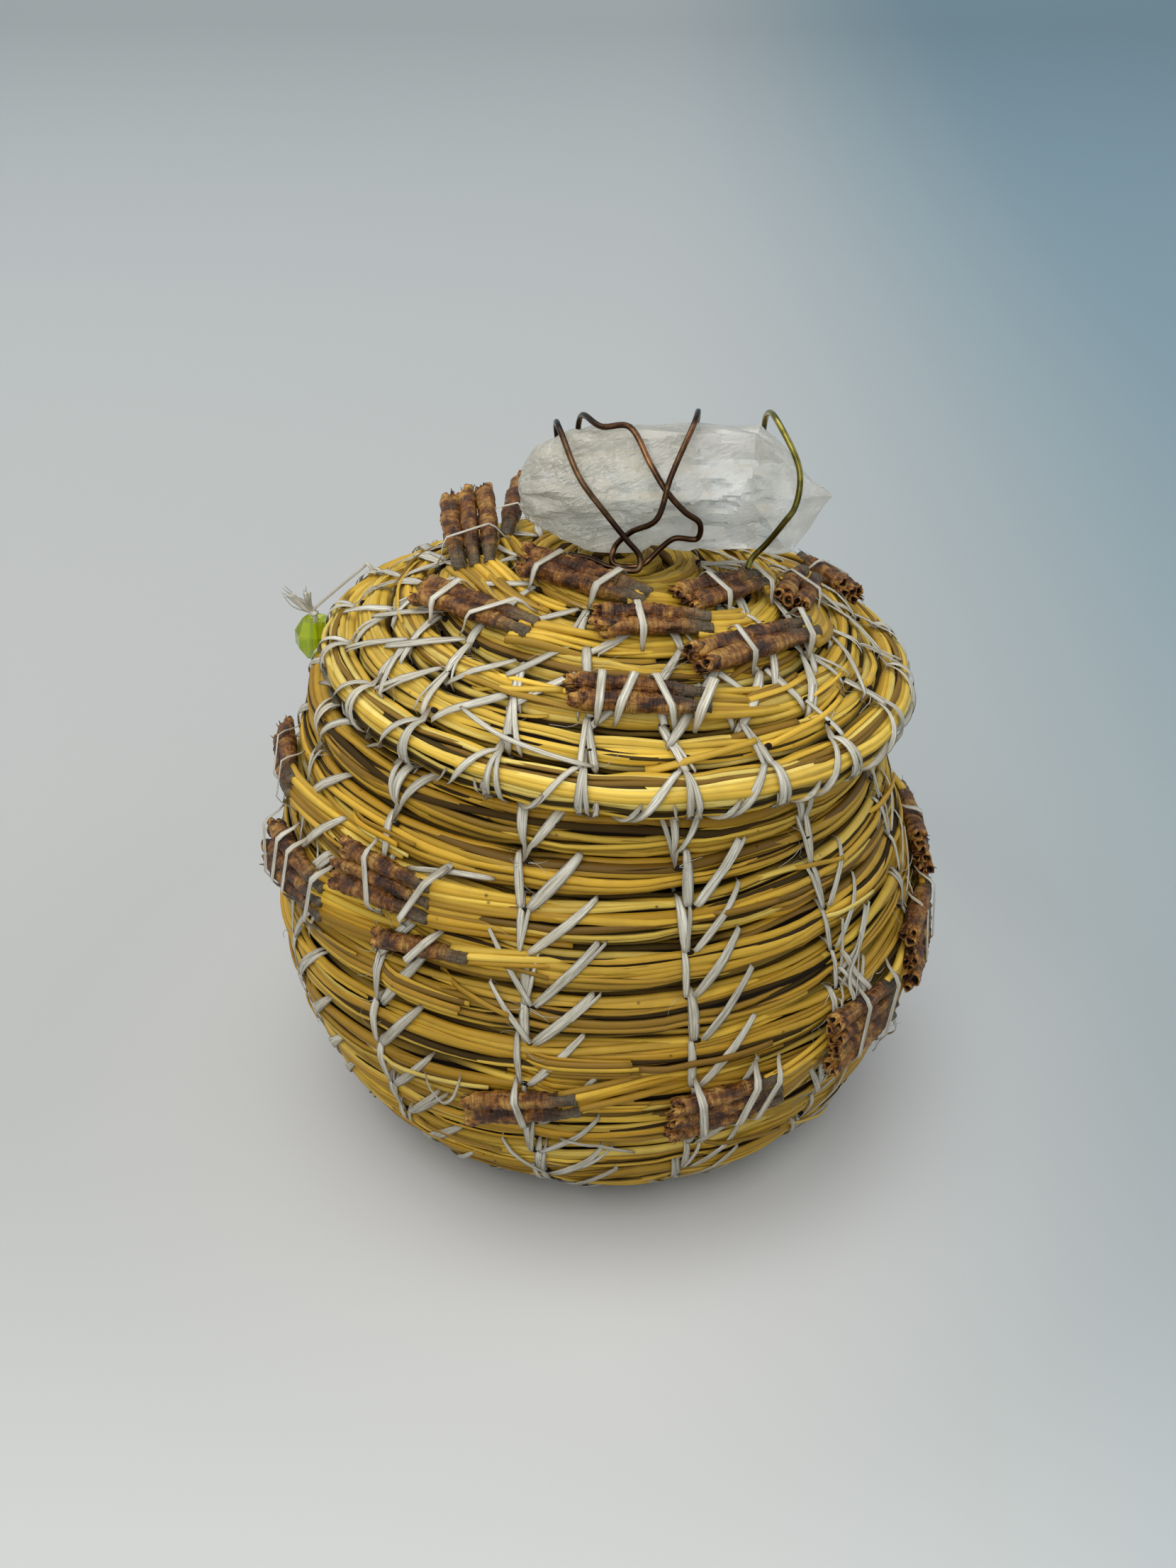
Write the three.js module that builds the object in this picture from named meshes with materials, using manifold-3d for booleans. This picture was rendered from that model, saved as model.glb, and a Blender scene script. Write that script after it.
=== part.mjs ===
/**
 * Lidded pine needle basket.
 *
 * One coil of long needles spirals out over the foot and up the wall of the basket, a second
 * coil spirals down over the domed lid, and waxed sinew binds each turn to the turn beside it.
 * The brown caps of the needle bundles stay outside, and a quartz point wired to the crown is
 * the lid's knob. Millimetres, +Z up, with the middle of the foot at the origin.
 */
import * as THREE from 'three';
import { mergeVertices } from 'three/addons/utils/BufferGeometryUtils.js';
import Module from 'manifold-3d';

const wasm = await Module();
wasm.setup();

const TURN = 2 * Math.PI;
const DEGREE = TURN / 360;

// Gap that is kept between two pieces that touch on the real basket.
const CLEARANCE = 0.3;

// Basket: radii are those of the middle of the coil.
const FOOT_RADIUS = 30.5;
const BELLY_RADIUS = 44.6;
const MOUTH_RADIUS = 37.4;
const MOUTH_HEIGHT = 64.7;
const BODY_DEPTH = 6.2;
const BODY_TURNS = 14;
const BODY_STEPS = 24;

// Lid: its rim round sits on the mouth round, and two rounds under it reach into the mouth.
const LID_OVERHANG = 1.4;
const LID_RISE = 13.3;
const LID_DEPTH = 5.8;
const LID_TURNS = 6;
const LID_STEPS = 20;
const SEAT_PLAY = 3.7;
const SEAT_DEPTH = 5.2;
const SEAT_HEIGHT = 5.8;
const SEAT_ROUNDS = 2;

// Handwork: where a coil starts, how unevenly it climbs, and how the basket leans.
const START_ANGLE = 170 * DEGREE;
const CLIMB_SWING = 0.1;
const LEAN = -0.034;
const TILT = -0.06;
const TILT_FROM = 30;
const LID_SHIFT = 1.3;
const THINNEST_ROW = 1.6;
const COIL_SIDES = 8;

// Sinew, needle caps, wire, crystal and bead.
const SINEW_WIDTH = 1.5;
const SINEW_THICKNESS = 0.5;
const BODY_COLUMNS = 13;
const LID_COLUMNS = 20;
const CAP_RADIUS = 1.4;
const CAP_SIDES = 7;
const CAP_STAGGER = 0.06;
const WIRE_RADIUS = 0.42;
const WIRE_SIDES = 6;
const CRYSTAL_HALF_DEPTH = 7.2;
const CRYSTAL_LENGTH = 42.5;
const BEAD_RADIUS = 3.2;
const BEAD_BORE = 0.75;
const THREAD_RADIUS = 0.4;

const LID_RADIUS = MOUTH_RADIUS + LID_OVERHANG;
const SEAT_RADIUS = MOUTH_RADIUS - BODY_DEPTH / 2 - SEAT_PLAY - SEAT_DEPTH / 2;
const SEAT_SHIFT = (LID_SHIFT + LEAN * MOUTH_HEIGHT) / 2;
const LID_BOTTOM = MOUTH_HEIGHT + BODY_DEPTH / 2 + CLEARANCE;
const LID_RIM_HEIGHT = LID_BOTTOM + LID_DEPTH / 2;
const CROWN_TOP = LID_RIM_HEIGHT + LID_RISE + LID_DEPTH / 2;

const FINISHES = {
  needles: { color: 0xc49a4c, roughness: 0.5, metalness: 0 },
  innerNeedles: { color: 0x9d7a3c, roughness: 0.6, metalness: 0 },
  sinew: { color: 0xe9e2d2, roughness: 0.45, metalness: 0 },
  cap: { color: 0x5e3319, roughness: 0.75, metalness: 0 },
  quartz: { color: 0xe6e8e6, roughness: 0.12, metalness: 0 },
  bronze: { color: 0x4c3020, roughness: 0.35, metalness: 0.9 },
  brass: { color: 0x8a7a30, roughness: 0.35, metalness: 0.9 },
  bead: { color: 0x7fc51c, roughness: 0.08, metalness: 0 },
};

const basket = new THREE.Group();

/** Adds one named mesh to the basket. */
function add(name, finish, geometry) {
  const mesh = new THREE.Mesh(geometry, new THREE.MeshStandardMaterial(FINISHES[finish]));
  mesh.name = name;
  basket.add(mesh);
  return mesh;
}

/** Share from 0 to 1 that rises smoothly while value goes from low to high. */
function smoothStep(low, high, value) {
  const share = Math.min(1, Math.max(0, (value - low) / (high - low)));
  return share * share * (3 - 2 * share);
}

/** Puts a point of the basket where it is on the real, slightly leaning one. */
function settleBody(point) {
  const x = point.x + LEAN * point.z;
  const z = point.z + TILT * smoothStep(TILT_FROM, MOUTH_HEIGHT, point.z) * x;
  return new THREE.Vector3(x, point.y, z);
}

/** Puts a point of the lid where it is on the real one, a little off the middle and tilted. */
function settleLid(point) {
  const x = point.x + LID_SHIFT;
  return new THREE.Vector3(x, point.y, point.z + TILT * x);
}

/** Puts a point of the lid's locating rounds near the middle of the mouth. */
function settleSeat(point) {
  const x = point.x + SEAT_SHIFT;
  return new THREE.Vector3(x, point.y, point.z + TILT * x);
}

/** Closed geometry through a list of rings of points; a loop joins its last ring to its first. */
function loft(rings, loop = false) {
  const sides = rings[0].length;
  const positions = rings.flat().flatMap((point) => [point.x, point.y, point.z]);
  const indices = [];
  const joins = loop ? rings.length : rings.length - 1;
  for (let ring = 0; ring < joins; ring += 1) {
    const next = (ring + 1) % rings.length;
    for (let side = 0; side < sides; side += 1) {
      const a = ring * sides + side;
      const b = ring * sides + ((side + 1) % sides);
      const c = next * sides + side;
      const d = next * sides + ((side + 1) % sides);
      indices.push(a, b, d, a, d, c);
    }
  }
  if (!loop) {
    const last = (rings.length - 1) * sides;
    for (let side = 1; side < sides - 1; side += 1) {
      indices.push(0, side + 1, side);
      indices.push(last, last + side, last + side + 1);
    }
  }
  const geometry = new THREE.BufferGeometry();
  geometry.setAttribute('position', new THREE.Float32BufferAttribute(positions, 3));
  geometry.setIndex(enclosedVolume(positions, indices) < 0 ? indices.reverse() : indices);
  geometry.computeVertexNormals();
  return geometry;
}

/** Volume inside a closed triangle mesh, negative where its faces point inward. */
function enclosedVolume(positions, indices) {
  const corner = (index) => new THREE.Vector3().fromArray(positions, 3 * indices[index]);
  let volume = 0;
  for (let index = 0; index < indices.length; index += 3) {
    volume += corner(index).dot(corner(index + 1).cross(corner(index + 2))) / 6;
  }
  return volume;
}

/** One closed geometry made of several that overlap. */
function join(geometries) {
  const solids = geometries.map((geometry) => {
    const bare = geometry.clone();
    bare.deleteAttribute('normal');
    bare.deleteAttribute('uv');
    const merged = mergeVertices(bare, 1e-5);
    return new wasm.Manifold(new wasm.Mesh({
      numProp: 3,
      vertProperties: new Float32Array(merged.attributes.position.array),
      triVerts: new Uint32Array(merged.index.array),
    }));
  });
  const mesh = solids.reduce((sum, solid) => sum.add(solid)).getMesh();
  const geometry = new THREE.BufferGeometry();
  geometry.setAttribute('position', new THREE.Float32BufferAttribute(mesh.vertProperties, 3));
  geometry.setIndex([...mesh.triVerts]);
  geometry.computeVertexNormals();
  return geometry;
}

/** Round tube through points, with a radius at each of them. */
function tube(points, radii, sides = 8) {
  let side = new THREE.Vector3(0.31, 0.87, 0.39);
  const rings = points.map((point, index) => {
    const before = points[Math.max(0, index - 1)];
    const after = points[Math.min(points.length - 1, index + 1)];
    const forward = after.clone().sub(before).normalize();
    side = side.clone().addScaledVector(forward, -side.dot(forward)).normalize();
    const other = forward.clone().cross(side);
    return Array.from({ length: sides }, (_, corner) => {
      const angle = (TURN * corner) / sides;
      return point.clone()
        .addScaledVector(side, radii[index] * Math.cos(angle))
        .addScaledVector(other, radii[index] * Math.sin(angle));
    });
  });
  return loft(rings);
}

/** Share of one turn's climb that is done at a share of the turn. */
function climb(share) {
  return share - CLIMB_SWING * Math.sin(TURN * share);
}

/** A spiral coil on a surface of revolution, ended by one closed round at its outer edge. */
class Coil {
  constructor({ outline, turns, depth, steps, settle, facing }) {
    this.curve = new THREE.SplineCurve(outline.map(([r, z]) => new THREE.Vector2(r, z)));
    this.curve.arcLengthDivisions = 800;
    this.length = this.curve.getLength();
    this.turns = turns;
    this.pitch = this.length / (turns + 1);
    this.depth = depth;
    this.steps = steps;
    this.settle = settle;
    this.facing = facing;
    this.lastGroove = this.length - this.pitch / 2;
  }

  /** Distance from the middle, along the outline, of the groove before the coil. */
  groove(turn) {
    const whole = Math.floor(turn);
    return this.pitch * (whole + 0.5 + climb(turn - whole));
  }

  /** Lower and upper edge of the coil, along the outline, at a number of turns from its start. */
  edges(turn) {
    const lower = this.groove(turn);
    return [lower, Math.min(lower + this.pitch, this.lastGroove)];
  }

  /** Distance along the outline of the crest of a turn at an angle round the basket. */
  crest(turn, angle) {
    const [lower, upper] = this.edges(turn + this.share(angle));
    return (lower + upper) / 2;
  }

  /** Share of a turn, from the coil's start, at an angle round the basket. */
  share(angle) {
    return (((angle - START_ANGLE) / TURN) % 1 + 1) % 1;
  }

  /** Point at a distance along the outline, a height over it and an angle round the basket. */
  point(distance, out, angle) {
    const share = Math.min(1, distance / this.length);
    const middle = this.curve.getPointAt(share);
    const along = this.curve.getTangentAt(share);
    middle.addScaledVector(along, distance - share * this.length);
    const r = middle.x + this.facing * out * along.y;
    const z = middle.y - this.facing * out * along.x;
    return this.settle(new THREE.Vector3(r * Math.cos(angle), r * Math.sin(angle), z));
  }

  /** Eight-sided oval between two edges, with its corners on the crest and in the grooves. */
  section(lower, upper, angle) {
    const share = Math.min(1, (lower + upper) / 2 / this.length);
    const middle = this.curve.getPointAt(share);
    const along = this.curve.getTangentAt(share);
    const halfHeight = (upper - lower - CLEARANCE) / 2;
    const fullness = Math.sqrt(Math.min(1, (upper - lower) / this.pitch));
    const halfDepth = (this.depth / 2) * fullness;
    return Array.from({ length: COIL_SIDES }, (_, corner) => {
      const up = halfHeight * Math.cos((TURN * corner) / COIL_SIDES);
      const out = halfDepth * Math.sin((TURN * corner) / COIL_SIDES);
      const r = middle.x + up * along.x + out * along.y;
      const z = middle.y + up * along.y - out * along.x;
      return this.settle(new THREE.Vector3(r * Math.cos(angle), r * Math.sin(angle), z));
    });
  }

  /** One turn of the coil; the last one thins toward its end so that the rim is level. */
  turn(number) {
    const rings = [];
    for (let step = 0; step <= this.steps; step += 1) {
      const trim = CLEARANCE / TURN / (this.pitch * (number + 0.7));
      const share = Math.min(1 - trim, Math.max(trim, step / this.steps));
      const [lower, upper] = this.edges(number + share);
      if (upper - lower < THINNEST_ROW) break;
      rings.push(this.section(lower, upper, START_ANGLE + TURN * share));
    }
    return loft(rings);
  }

  /** The closed round at the outer edge. */
  round() {
    const rings = Array.from({ length: this.steps }, (_, step) => this.section(
      this.lastGroove, this.length + this.pitch / 2, START_ANGLE + (TURN * step) / this.steps));
    return loft(rings, true);
  }

  /** The start of the coil, folded flat, whose edge is the groove of the first turn. */
  start(bottom, top) {
    const outline = Array.from({ length: this.steps + 1 }, (_, step) => {
      const share = step / this.steps;
      const radius = this.pitch * (0.5 + climb(share)) - CLEARANCE / 2;
      const angle = START_ANGLE + TURN * share;
      return new THREE.Vector2(radius * Math.cos(angle), radius * Math.sin(angle));
    });
    const plate = new THREE.ExtrudeGeometry(new THREE.Shape(outline), {
      depth: top - bottom, bevelEnabled: false,
    });
    plate.translate(0, 0, bottom);
    const position = plate.attributes.position;
    for (let index = 0; index < position.count; index += 1) {
      const settled = this.settle(new THREE.Vector3().fromBufferAttribute(position, index));
      position.setXYZ(index, settled.x, settled.y, settled.z);
    }
    return plate;
  }
}

const bodyCoil = new Coil({
  outline: [
    [0, BODY_DEPTH / 2],
    [0.4 * FOOT_RADIUS, BODY_DEPTH / 2],
    [0.8 * FOOT_RADIUS, BODY_DEPTH / 2],
    [FOOT_RADIUS, BODY_DEPTH / 2 + 0.6],
    [0.816 * BELLY_RADIUS, 0.128 * MOUTH_HEIGHT],
    [0.917 * BELLY_RADIUS, 0.247 * MOUTH_HEIGHT],
    [BELLY_RADIUS, 0.464 * MOUTH_HEIGHT],
    [0.964 * BELLY_RADIUS, 0.696 * MOUTH_HEIGHT],
    [(0.4 * BELLY_RADIUS + 0.6 * MOUTH_RADIUS) * 0.965, 0.927 * MOUTH_HEIGHT],
    [MOUTH_RADIUS, MOUTH_HEIGHT],
  ],
  turns: BODY_TURNS,
  depth: BODY_DEPTH,
  steps: BODY_STEPS,
  settle: settleBody,
  facing: 1,
});

const lidCoil = new Coil({
  outline: Array.from({ length: 9 }, (_, index) => {
    const share = index / 8;
    return [LID_RADIUS * share, LID_RIM_HEIGHT + LID_RISE * (1 - share * share)];
  }),
  turns: LID_TURNS,
  depth: LID_DEPTH,
  steps: LID_STEPS,
  settle: settleLid,
  facing: -1,
});

/** Number with a leading zero, for the names of a row of pieces. */
function counted(number) {
  return String(number).padStart(2, '0');
}

/** The coils of basket and lid, turn by turn. */
function addCoils() {
  add('body_start', 'innerNeedles', bodyCoil.start(0, BODY_DEPTH));
  for (let turn = 0; turn < BODY_TURNS; turn += 1) {
    add(`body_coil_${counted(turn + 1)}`, 'needles', bodyCoil.turn(turn));
  }
  add('body_mouth_round', 'needles', bodyCoil.round());
  add('lid_start', 'needles', lidCoil.start(CROWN_TOP - LID_DEPTH, CROWN_TOP));
  for (let turn = 0; turn < LID_TURNS; turn += 1) {
    add(`lid_coil_${counted(turn + 1)}`, 'needles', lidCoil.turn(turn));
  }
  add('lid_rim_round', 'needles', lidCoil.round());
}

/** The rounds under the lid that reach into the mouth and keep the lid in its place. */
function addSeat() {
  const shoulder = LID_RISE * (1 - ((SEAT_RADIUS + SEAT_DEPTH / 2) / LID_RADIUS) ** 2);
  const top = LID_RIM_HEIGHT + shoulder - LID_DEPTH / 2 - 2 * CLEARANCE;
  for (let round = 0; round < SEAT_ROUNDS; round += 1) {
    const height = top - (round + 0.5) * SEAT_HEIGHT;
    const halfHeight = (SEAT_HEIGHT - CLEARANCE) / 2;
    const rings = Array.from({ length: LID_STEPS }, (_, step) => {
      const angle = (TURN * step) / LID_STEPS;
      return Array.from({ length: COIL_SIDES }, (__, corner) => {
        const up = halfHeight * Math.cos((TURN * corner) / COIL_SIDES);
        const r = SEAT_RADIUS + (SEAT_DEPTH / 2) * Math.sin((TURN * corner) / COIL_SIDES);
        return settleSeat(new THREE.Vector3(r * Math.cos(angle), r * Math.sin(angle), height + up));
      });
    });
    add(`lid_seat_round_${round + 1}`, 'innerNeedles', loft(rings, true));
  }
}

/**
 * A bundle of needle caps that lies on a coil, its torn tips pointing back along the coil. It is
 * as long as a number of rows of its coil are high, lies a few degrees askew, and its tips can
 * be lifted off the coil and its tail tucked down to it.
 */
class CapBundle {
  constructor({
    name, coil, angle, row, count = 2, rows = 2.9, hold = 0.5, fan = 0.4, skew = 0, lift = 0, tuck = 0,
  }) {
    Object.assign(this, { name, coil, count, hold, fan, lift, tuck });
    this.length = rows * coil.pitch;
    const bearing = angle * DEGREE;
    this.distance = coil.crest(Math.floor(row), bearing) + coil.pitch * (row - Math.floor(row));
    const out = coil.depth / 2 + CLEARANCE + CAP_RADIUS;
    this.middle = coil.point(this.distance, out, bearing);
    this.back = coil.point(this.distance, out, bearing - 0.01).sub(this.middle).normalize();
    this.across = coil.point(this.distance + 0.5, out, bearing).sub(this.middle).normalize();
    this.out = this.across.clone().cross(this.back).normalize();
    if (this.out.dot(coil.point(this.distance, out + 1, bearing).sub(this.middle)) < 0) {
      this.out.negate();
    }
    this.turned = this.out.clone().cross(this.back).dot(this.across) > 0 ? 1 : -1;
    this.back.applyAxisAngle(this.out, this.turned * skew * DEGREE);
    this.across.applyAxisAngle(this.out, this.turned * skew * DEGREE);
    this.spacing = 1.5 * CAP_RADIUS;
  }

  /** Distance across the bundle, with the fan of its tips. */
  get width() {
    return (this.count - 1) * (this.spacing + this.fan) + 2 * CAP_RADIUS;
  }

  geometry() {
    const sticks = Array.from({ length: this.count }, (_, index) => {
      const place = index - (this.count - 1) / 2;
      const reach = this.length * (1 - CAP_STAGGER * (index % 3));
      const tip = this.middle.clone()
        .addScaledVector(this.back, reach * (1 - this.hold))
        .addScaledVector(this.across, place * (this.spacing + this.fan))
        .addScaledVector(this.out, this.lift * CAP_RADIUS);
      const tail = this.middle.clone()
        .addScaledVector(this.back, -this.length * this.hold)
        .addScaledVector(this.across, place * this.spacing)
        .addScaledVector(this.out, -this.tuck * CAP_RADIUS);
      const waist = tip.clone().lerp(tail, 0.16);
      return tube([tip, waist, tail], [0.86 * CAP_RADIUS, CAP_RADIUS, 0.82 * CAP_RADIUS], CAP_SIDES);
    });
    return join(sticks);
  }

  /** Height over its coil that a ribbon needs to pass over this bundle, or 0 where it misses. */
  heightAt(distance, angle) {
    const clear = SINEW_THICKNESS / 2 + CLEARANCE + CAP_RADIUS;
    const margin = SINEW_WIDTH / 2 + 2 * CLEARANCE;
    for (let out = this.coil.depth / 2; out < 3 * this.coil.depth; out += 0.1) {
      const away = this.coil.point(distance, out, angle).sub(this.middle);
      const along = away.dot(this.back) + this.length * this.hold;
      const beside = Math.abs(away.dot(this.across)) - this.width / 2;
      if (along < -margin || along > this.length + margin || beside > margin) return 0;
      if (away.dot(this.out) > clear) return out + CLEARANCE;
    }
    return 0;
  }

  /** Stretch of a stitch column that lies over this bundle, with its height there. */
  crossing(bearingAt) {
    const over = [];
    for (let away = -this.length / 2; away < this.length / 2; away += 0.25) {
      const distance = this.distance + away;
      const out = this.heightAt(distance, bearingAt(distance));
      if (out > 0) over.push({ distance, out });
    }
    if (over.length === 0) return null;
    const out = Math.max(...over.map((stop) => stop.out));
    return { low: over[0].distance, high: over[over.length - 1].distance, out };
  }
}

const capBundles = [
  { name: 'caps_body_left_high', coil: bodyCoil, angle: 192, row: 12.35, rows: 2.4 },
  {
    name: 'caps_body_left', coil: bodyCoil, angle: 207.5, row: 10.85, count: 3, rows: 3.2,
    fan: 0.9, skew: -5,
  },
  { name: 'caps_body_front_left', coil: bodyCoil, angle: 232.5, row: 11.95, count: 3, rows: 2.5, skew: -3 },
  { name: 'caps_body_front_left_low', coil: bodyCoil, angle: 241.4, row: 11, count: 1, rows: 2.2, skew: -8 },
  { name: 'caps_body_front_low', coil: bodyCoil, angle: 258.3, row: 8, rows: 2.5, skew: -13 },
  { name: 'caps_body_front_right', coil: bodyCoil, angle: 291.3, row: 7.8, count: 3, rows: 2.5, skew: -8 },
  { name: 'caps_body_right_low', coil: bodyCoil, angle: 320, row: 8.3, count: 4, rows: 2.3 },
  { name: 'caps_body_right', coil: bodyCoil, angle: 344, row: 8.6, count: 4, rows: 2.4 },
  { name: 'caps_body_right_high', coil: bodyCoil, angle: 2.5, row: 9.75, count: 3, rows: 2.7 },
  { name: 'caps_body_back_1', coil: bodyCoil, angle: 45, row: 11, skew: 6 },
  { name: 'caps_body_back_2', coil: bodyCoil, angle: 95, row: 8, count: 3, skew: -4 },
  { name: 'caps_body_back_3', coil: bodyCoil, angle: 128, row: 11, count: 3, skew: -7 },
  { name: 'caps_lid_left', coil: lidCoil, angle: 216, row: 2.7, rows: 3.5, skew: 14.5 },
  { name: 'caps_lid_crown', coil: lidCoil, angle: 245, row: 0.6, rows: 3.2, skew: -3 },
  { name: 'caps_lid_crown_right', coil: lidCoil, angle: 331, row: 1.15, rows: 2.7, skew: -15 },
  { name: 'caps_lid_front', coil: lidCoil, angle: 284.3, row: 1.8, rows: 2.6, skew: -6 },
  { name: 'caps_lid_front_right', coil: lidCoil, angle: 316.4, row: 2.7, rows: 3.6, skew: -4.5 },
  { name: 'caps_lid_front_low', coil: lidCoil, angle: 275.3, row: 3.8, rows: 3.05, skew: -3 },
  { name: 'caps_lid_right', coil: lidCoil, angle: 3.5, row: 2.6, rows: 2.5, skew: -22 },
  { name: 'caps_lid_right_low', coil: lidCoil, angle: 30, row: 4.35, rows: 2.3, skew: -8 },
  {
    name: 'caps_lid_back_left', coil: lidCoil, angle: 161.4, row: 1.55, count: 3, rows: 3.1,
    skew: 22, lift: 3, tuck: 0.8,
  },
  {
    name: 'caps_lid_back', coil: lidCoil, angle: 135.6, row: 1.4, count: 1, rows: 2.8,
    skew: 36, lift: 3, tuck: 0.7,
  },
  { name: 'caps_lid_back_right', coil: lidCoil, angle: 60, row: 3.2 },
].map((bundle) => new CapBundle(bundle));

/** The brown caps left on the needle bundles. */
function addCaps() {
  capBundles.forEach((bundle) => add(bundle.name, 'cap', bundle.geometry()));
}

/** Stretches of a column in order, with those that meet made one. */
function mergeStretches(stretches) {
  const merged = [];
  stretches.sort((a, b) => a.low - b.low).forEach((stretch) => {
    const last = merged[merged.length - 1];
    if (last && stretch.low < last.high + 2 * SINEW_WIDTH) {
      last.high = Math.max(last.high, stretch.high);
      last.out = Math.max(last.out, stretch.out);
    } else {
      merged.push({ ...stretch });
    }
  });
  return merged;
}

/** One column of stitches: a flat ribbon from crest to crest, lifted over the bundles of caps. */
function stitchColumn(coil, angle, innermost, swing) {
  const level = coil.depth / 2 + CLEARANCE + SINEW_THICKNESS / 2;
  const bearingAt = (distance) => angle + swing * (distance - coil.length);
  const crossings = mergeStretches(capBundles
    .filter((bundle) => bundle.coil === coil)
    .map((bundle) => bundle.crossing(bearingAt))
    .filter((crossing) => crossing !== null));
  const crests = Array.from({ length: coil.turns }, (_, turn) => coil.crest(turn, angle));
  const stops = [...crests, coil.length]
    .filter((distance) => distance > innermost)
    .filter((distance) => distance < coil.lastGroove - 0.1 * coil.pitch || distance === coil.length)
    .filter((distance) => crossings.every(({ low, high }) => distance < low - 1 || distance > high + 1))
    .map((distance) => ({ distance, out: level }));
  const first = stops[0].distance;
  crossings.forEach(({ low, high, out }) => {
    if (low - SINEW_WIDTH / 2 < first) return;
    stops.push({ distance: low - SINEW_WIDTH / 2, out: level }, { distance: low, out });
    stops.push({ distance: high, out }, { distance: high + SINEW_WIDTH / 2, out: level });
  });
  const ordered = stops.sort((a, b) => a.distance - b.distance);
  return loft(ordered.map(({ distance, out }) => {
    const bearing = bearingAt(distance);
    const middle = coil.point(distance, out, bearing);
    const half = SINEW_WIDTH / 2 / Math.hypot(middle.x, middle.y);
    return [[-half, -1], [half, -1], [half, 1], [-half, 1]].map(([aside, side]) => coil.point(
      distance, out + (side * SINEW_THICKNESS) / 2, bearing + aside));
  }));
}

/** The sinew along the crest of the outermost round, which the columns of stitches end on. */
function edgeSinew(coil) {
  const level = coil.depth / 2 + CLEARANCE + SINEW_THICKNESS / 2;
  const half = SINEW_WIDTH / 3;
  const steps = 2 * coil.steps;
  const rings = Array.from({ length: steps }, (_, step) => {
    const angle = START_ANGLE + (TURN * step) / steps;
    return [[-half, -0.4], [half, -0.4], [half, 0.4], [-half, 0.4]].map(([aside, side]) => coil.point(
      coil.length + aside, level + side * SINEW_THICKNESS, angle));
  });
  return loft(rings, true);
}

/** Sinew of basket and lid, each one piece that runs from stitch to stitch. */
function addSinew() {
  const bodyPieces = Array.from({ length: BODY_COLUMNS }, (_, column) => stitchColumn(
    bodyCoil, -101.5 * DEGREE + (TURN * column) / BODY_COLUMNS, 1.15 * FOOT_RADIUS, 0));
  add('body_sinew', 'sinew', join([edgeSinew(bodyCoil), ...bodyPieces]));
  const lidPieces = Array.from({ length: LID_COLUMNS }, (_, column) => stitchColumn(
    lidCoil, -94 * DEGREE + (TURN * column) / LID_COLUMNS,
    column % 2 ? 0.62 * LID_RADIUS : 0.36 * LID_RADIUS, 0.45 * DEGREE));
  add('lid_sinew', 'sinew', join([edgeSinew(lidCoil), ...lidPieces]));
}

// Quartz point: six long faces, a worn end on the left and a six-sided point on the right.
const CRYSTAL_BOTTOM = CROWN_TOP + CLEARANCE + 0.4;
const CRYSTAL_MIDDLE = CRYSTAL_BOTTOM + 1.19 * CRYSTAL_HALF_DEPTH;
const CRYSTAL_LEFT = -12.6;
const CRYSTAL_CORNERS = [
  [-0.62, -1.18], [-1, 0.1], [-0.36, 1.2], [0.5, 1.12], [1.02, 0.12], [0.55, -1.16],
];
const CRYSTAL_STATIONS = [
  { at: 0, size: 0.28 }, { at: 0.045, size: 0.46 }, { at: 0.12, size: 0.71 },
  { at: 0.22, size: 0.92 }, { at: 0.5, size: 1 },
];
const CRYSTAL_TIP_DROP = 1.6;
const CRYSTAL_SHOULDERS = [0.87, 0.73, 0.745, 0.77, 0.82, 0.88];

/** Point of an edge of the crystal, at a share of its length. */
function onCrystal(at, corner, size = 1) {
  const [y, z] = CRYSTAL_CORNERS[corner];
  const reach = CRYSTAL_HALF_DEPTH * size;
  return new THREE.Vector3(CRYSTAL_LEFT + at * CRYSTAL_LENGTH, y * reach, CRYSTAL_MIDDLE + z * reach);
}

/** Size of the crystal's section at a share of its length, before its shoulders. */
function crystalSize(at) {
  const next = CRYSTAL_STATIONS.findIndex((station) => station.at > at);
  if (next < 1) return 1;
  const [before, after] = [CRYSTAL_STATIONS[next - 1], CRYSTAL_STATIONS[next]];
  const share = (at - before.at) / (after.at - before.at);
  return before.size + share * (after.size - before.size);
}

/** Point off one long face of the crystal, at a share of the way from its first edge to its next. */
function offFace(at, face, share, off) {
  const size = crystalSize(at);
  const from = onCrystal(at, face, size);
  const to = onCrystal(at, (face + 1) % CRYSTAL_CORNERS.length, size);
  const across = to.clone().sub(from).normalize();
  const outward = new THREE.Vector3(0, -across.z, across.y);
  return from.lerp(to, share).addScaledVector(outward, off);
}

/** Point off an edge of the crystal. */
function offEdge(at, edge, off) {
  const point = onCrystal(at, edge, crystalSize(at));
  const outward = new THREE.Vector3(0, point.y, point.z - CRYSTAL_MIDDLE).normalize();
  return point.addScaledVector(outward, off);
}

/** The quartz point that is the lid's knob. */
function addCrystal() {
  const rings = CRYSTAL_STATIONS.map(({ at, size }) => CRYSTAL_CORNERS.map(
    (_, corner) => onCrystal(at, corner, size)));
  rings.push(CRYSTAL_CORNERS.map((_, corner) => onCrystal(CRYSTAL_SHOULDERS[corner], corner)));
  rings.push(CRYSTAL_CORNERS.map((_, corner) => onCrystal(1, corner, 0.03)
    .add(new THREE.Vector3(0, 0, -CRYSTAL_TIP_DROP))));
  add('crystal', 'quartz', loft(rings));
}

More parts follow.
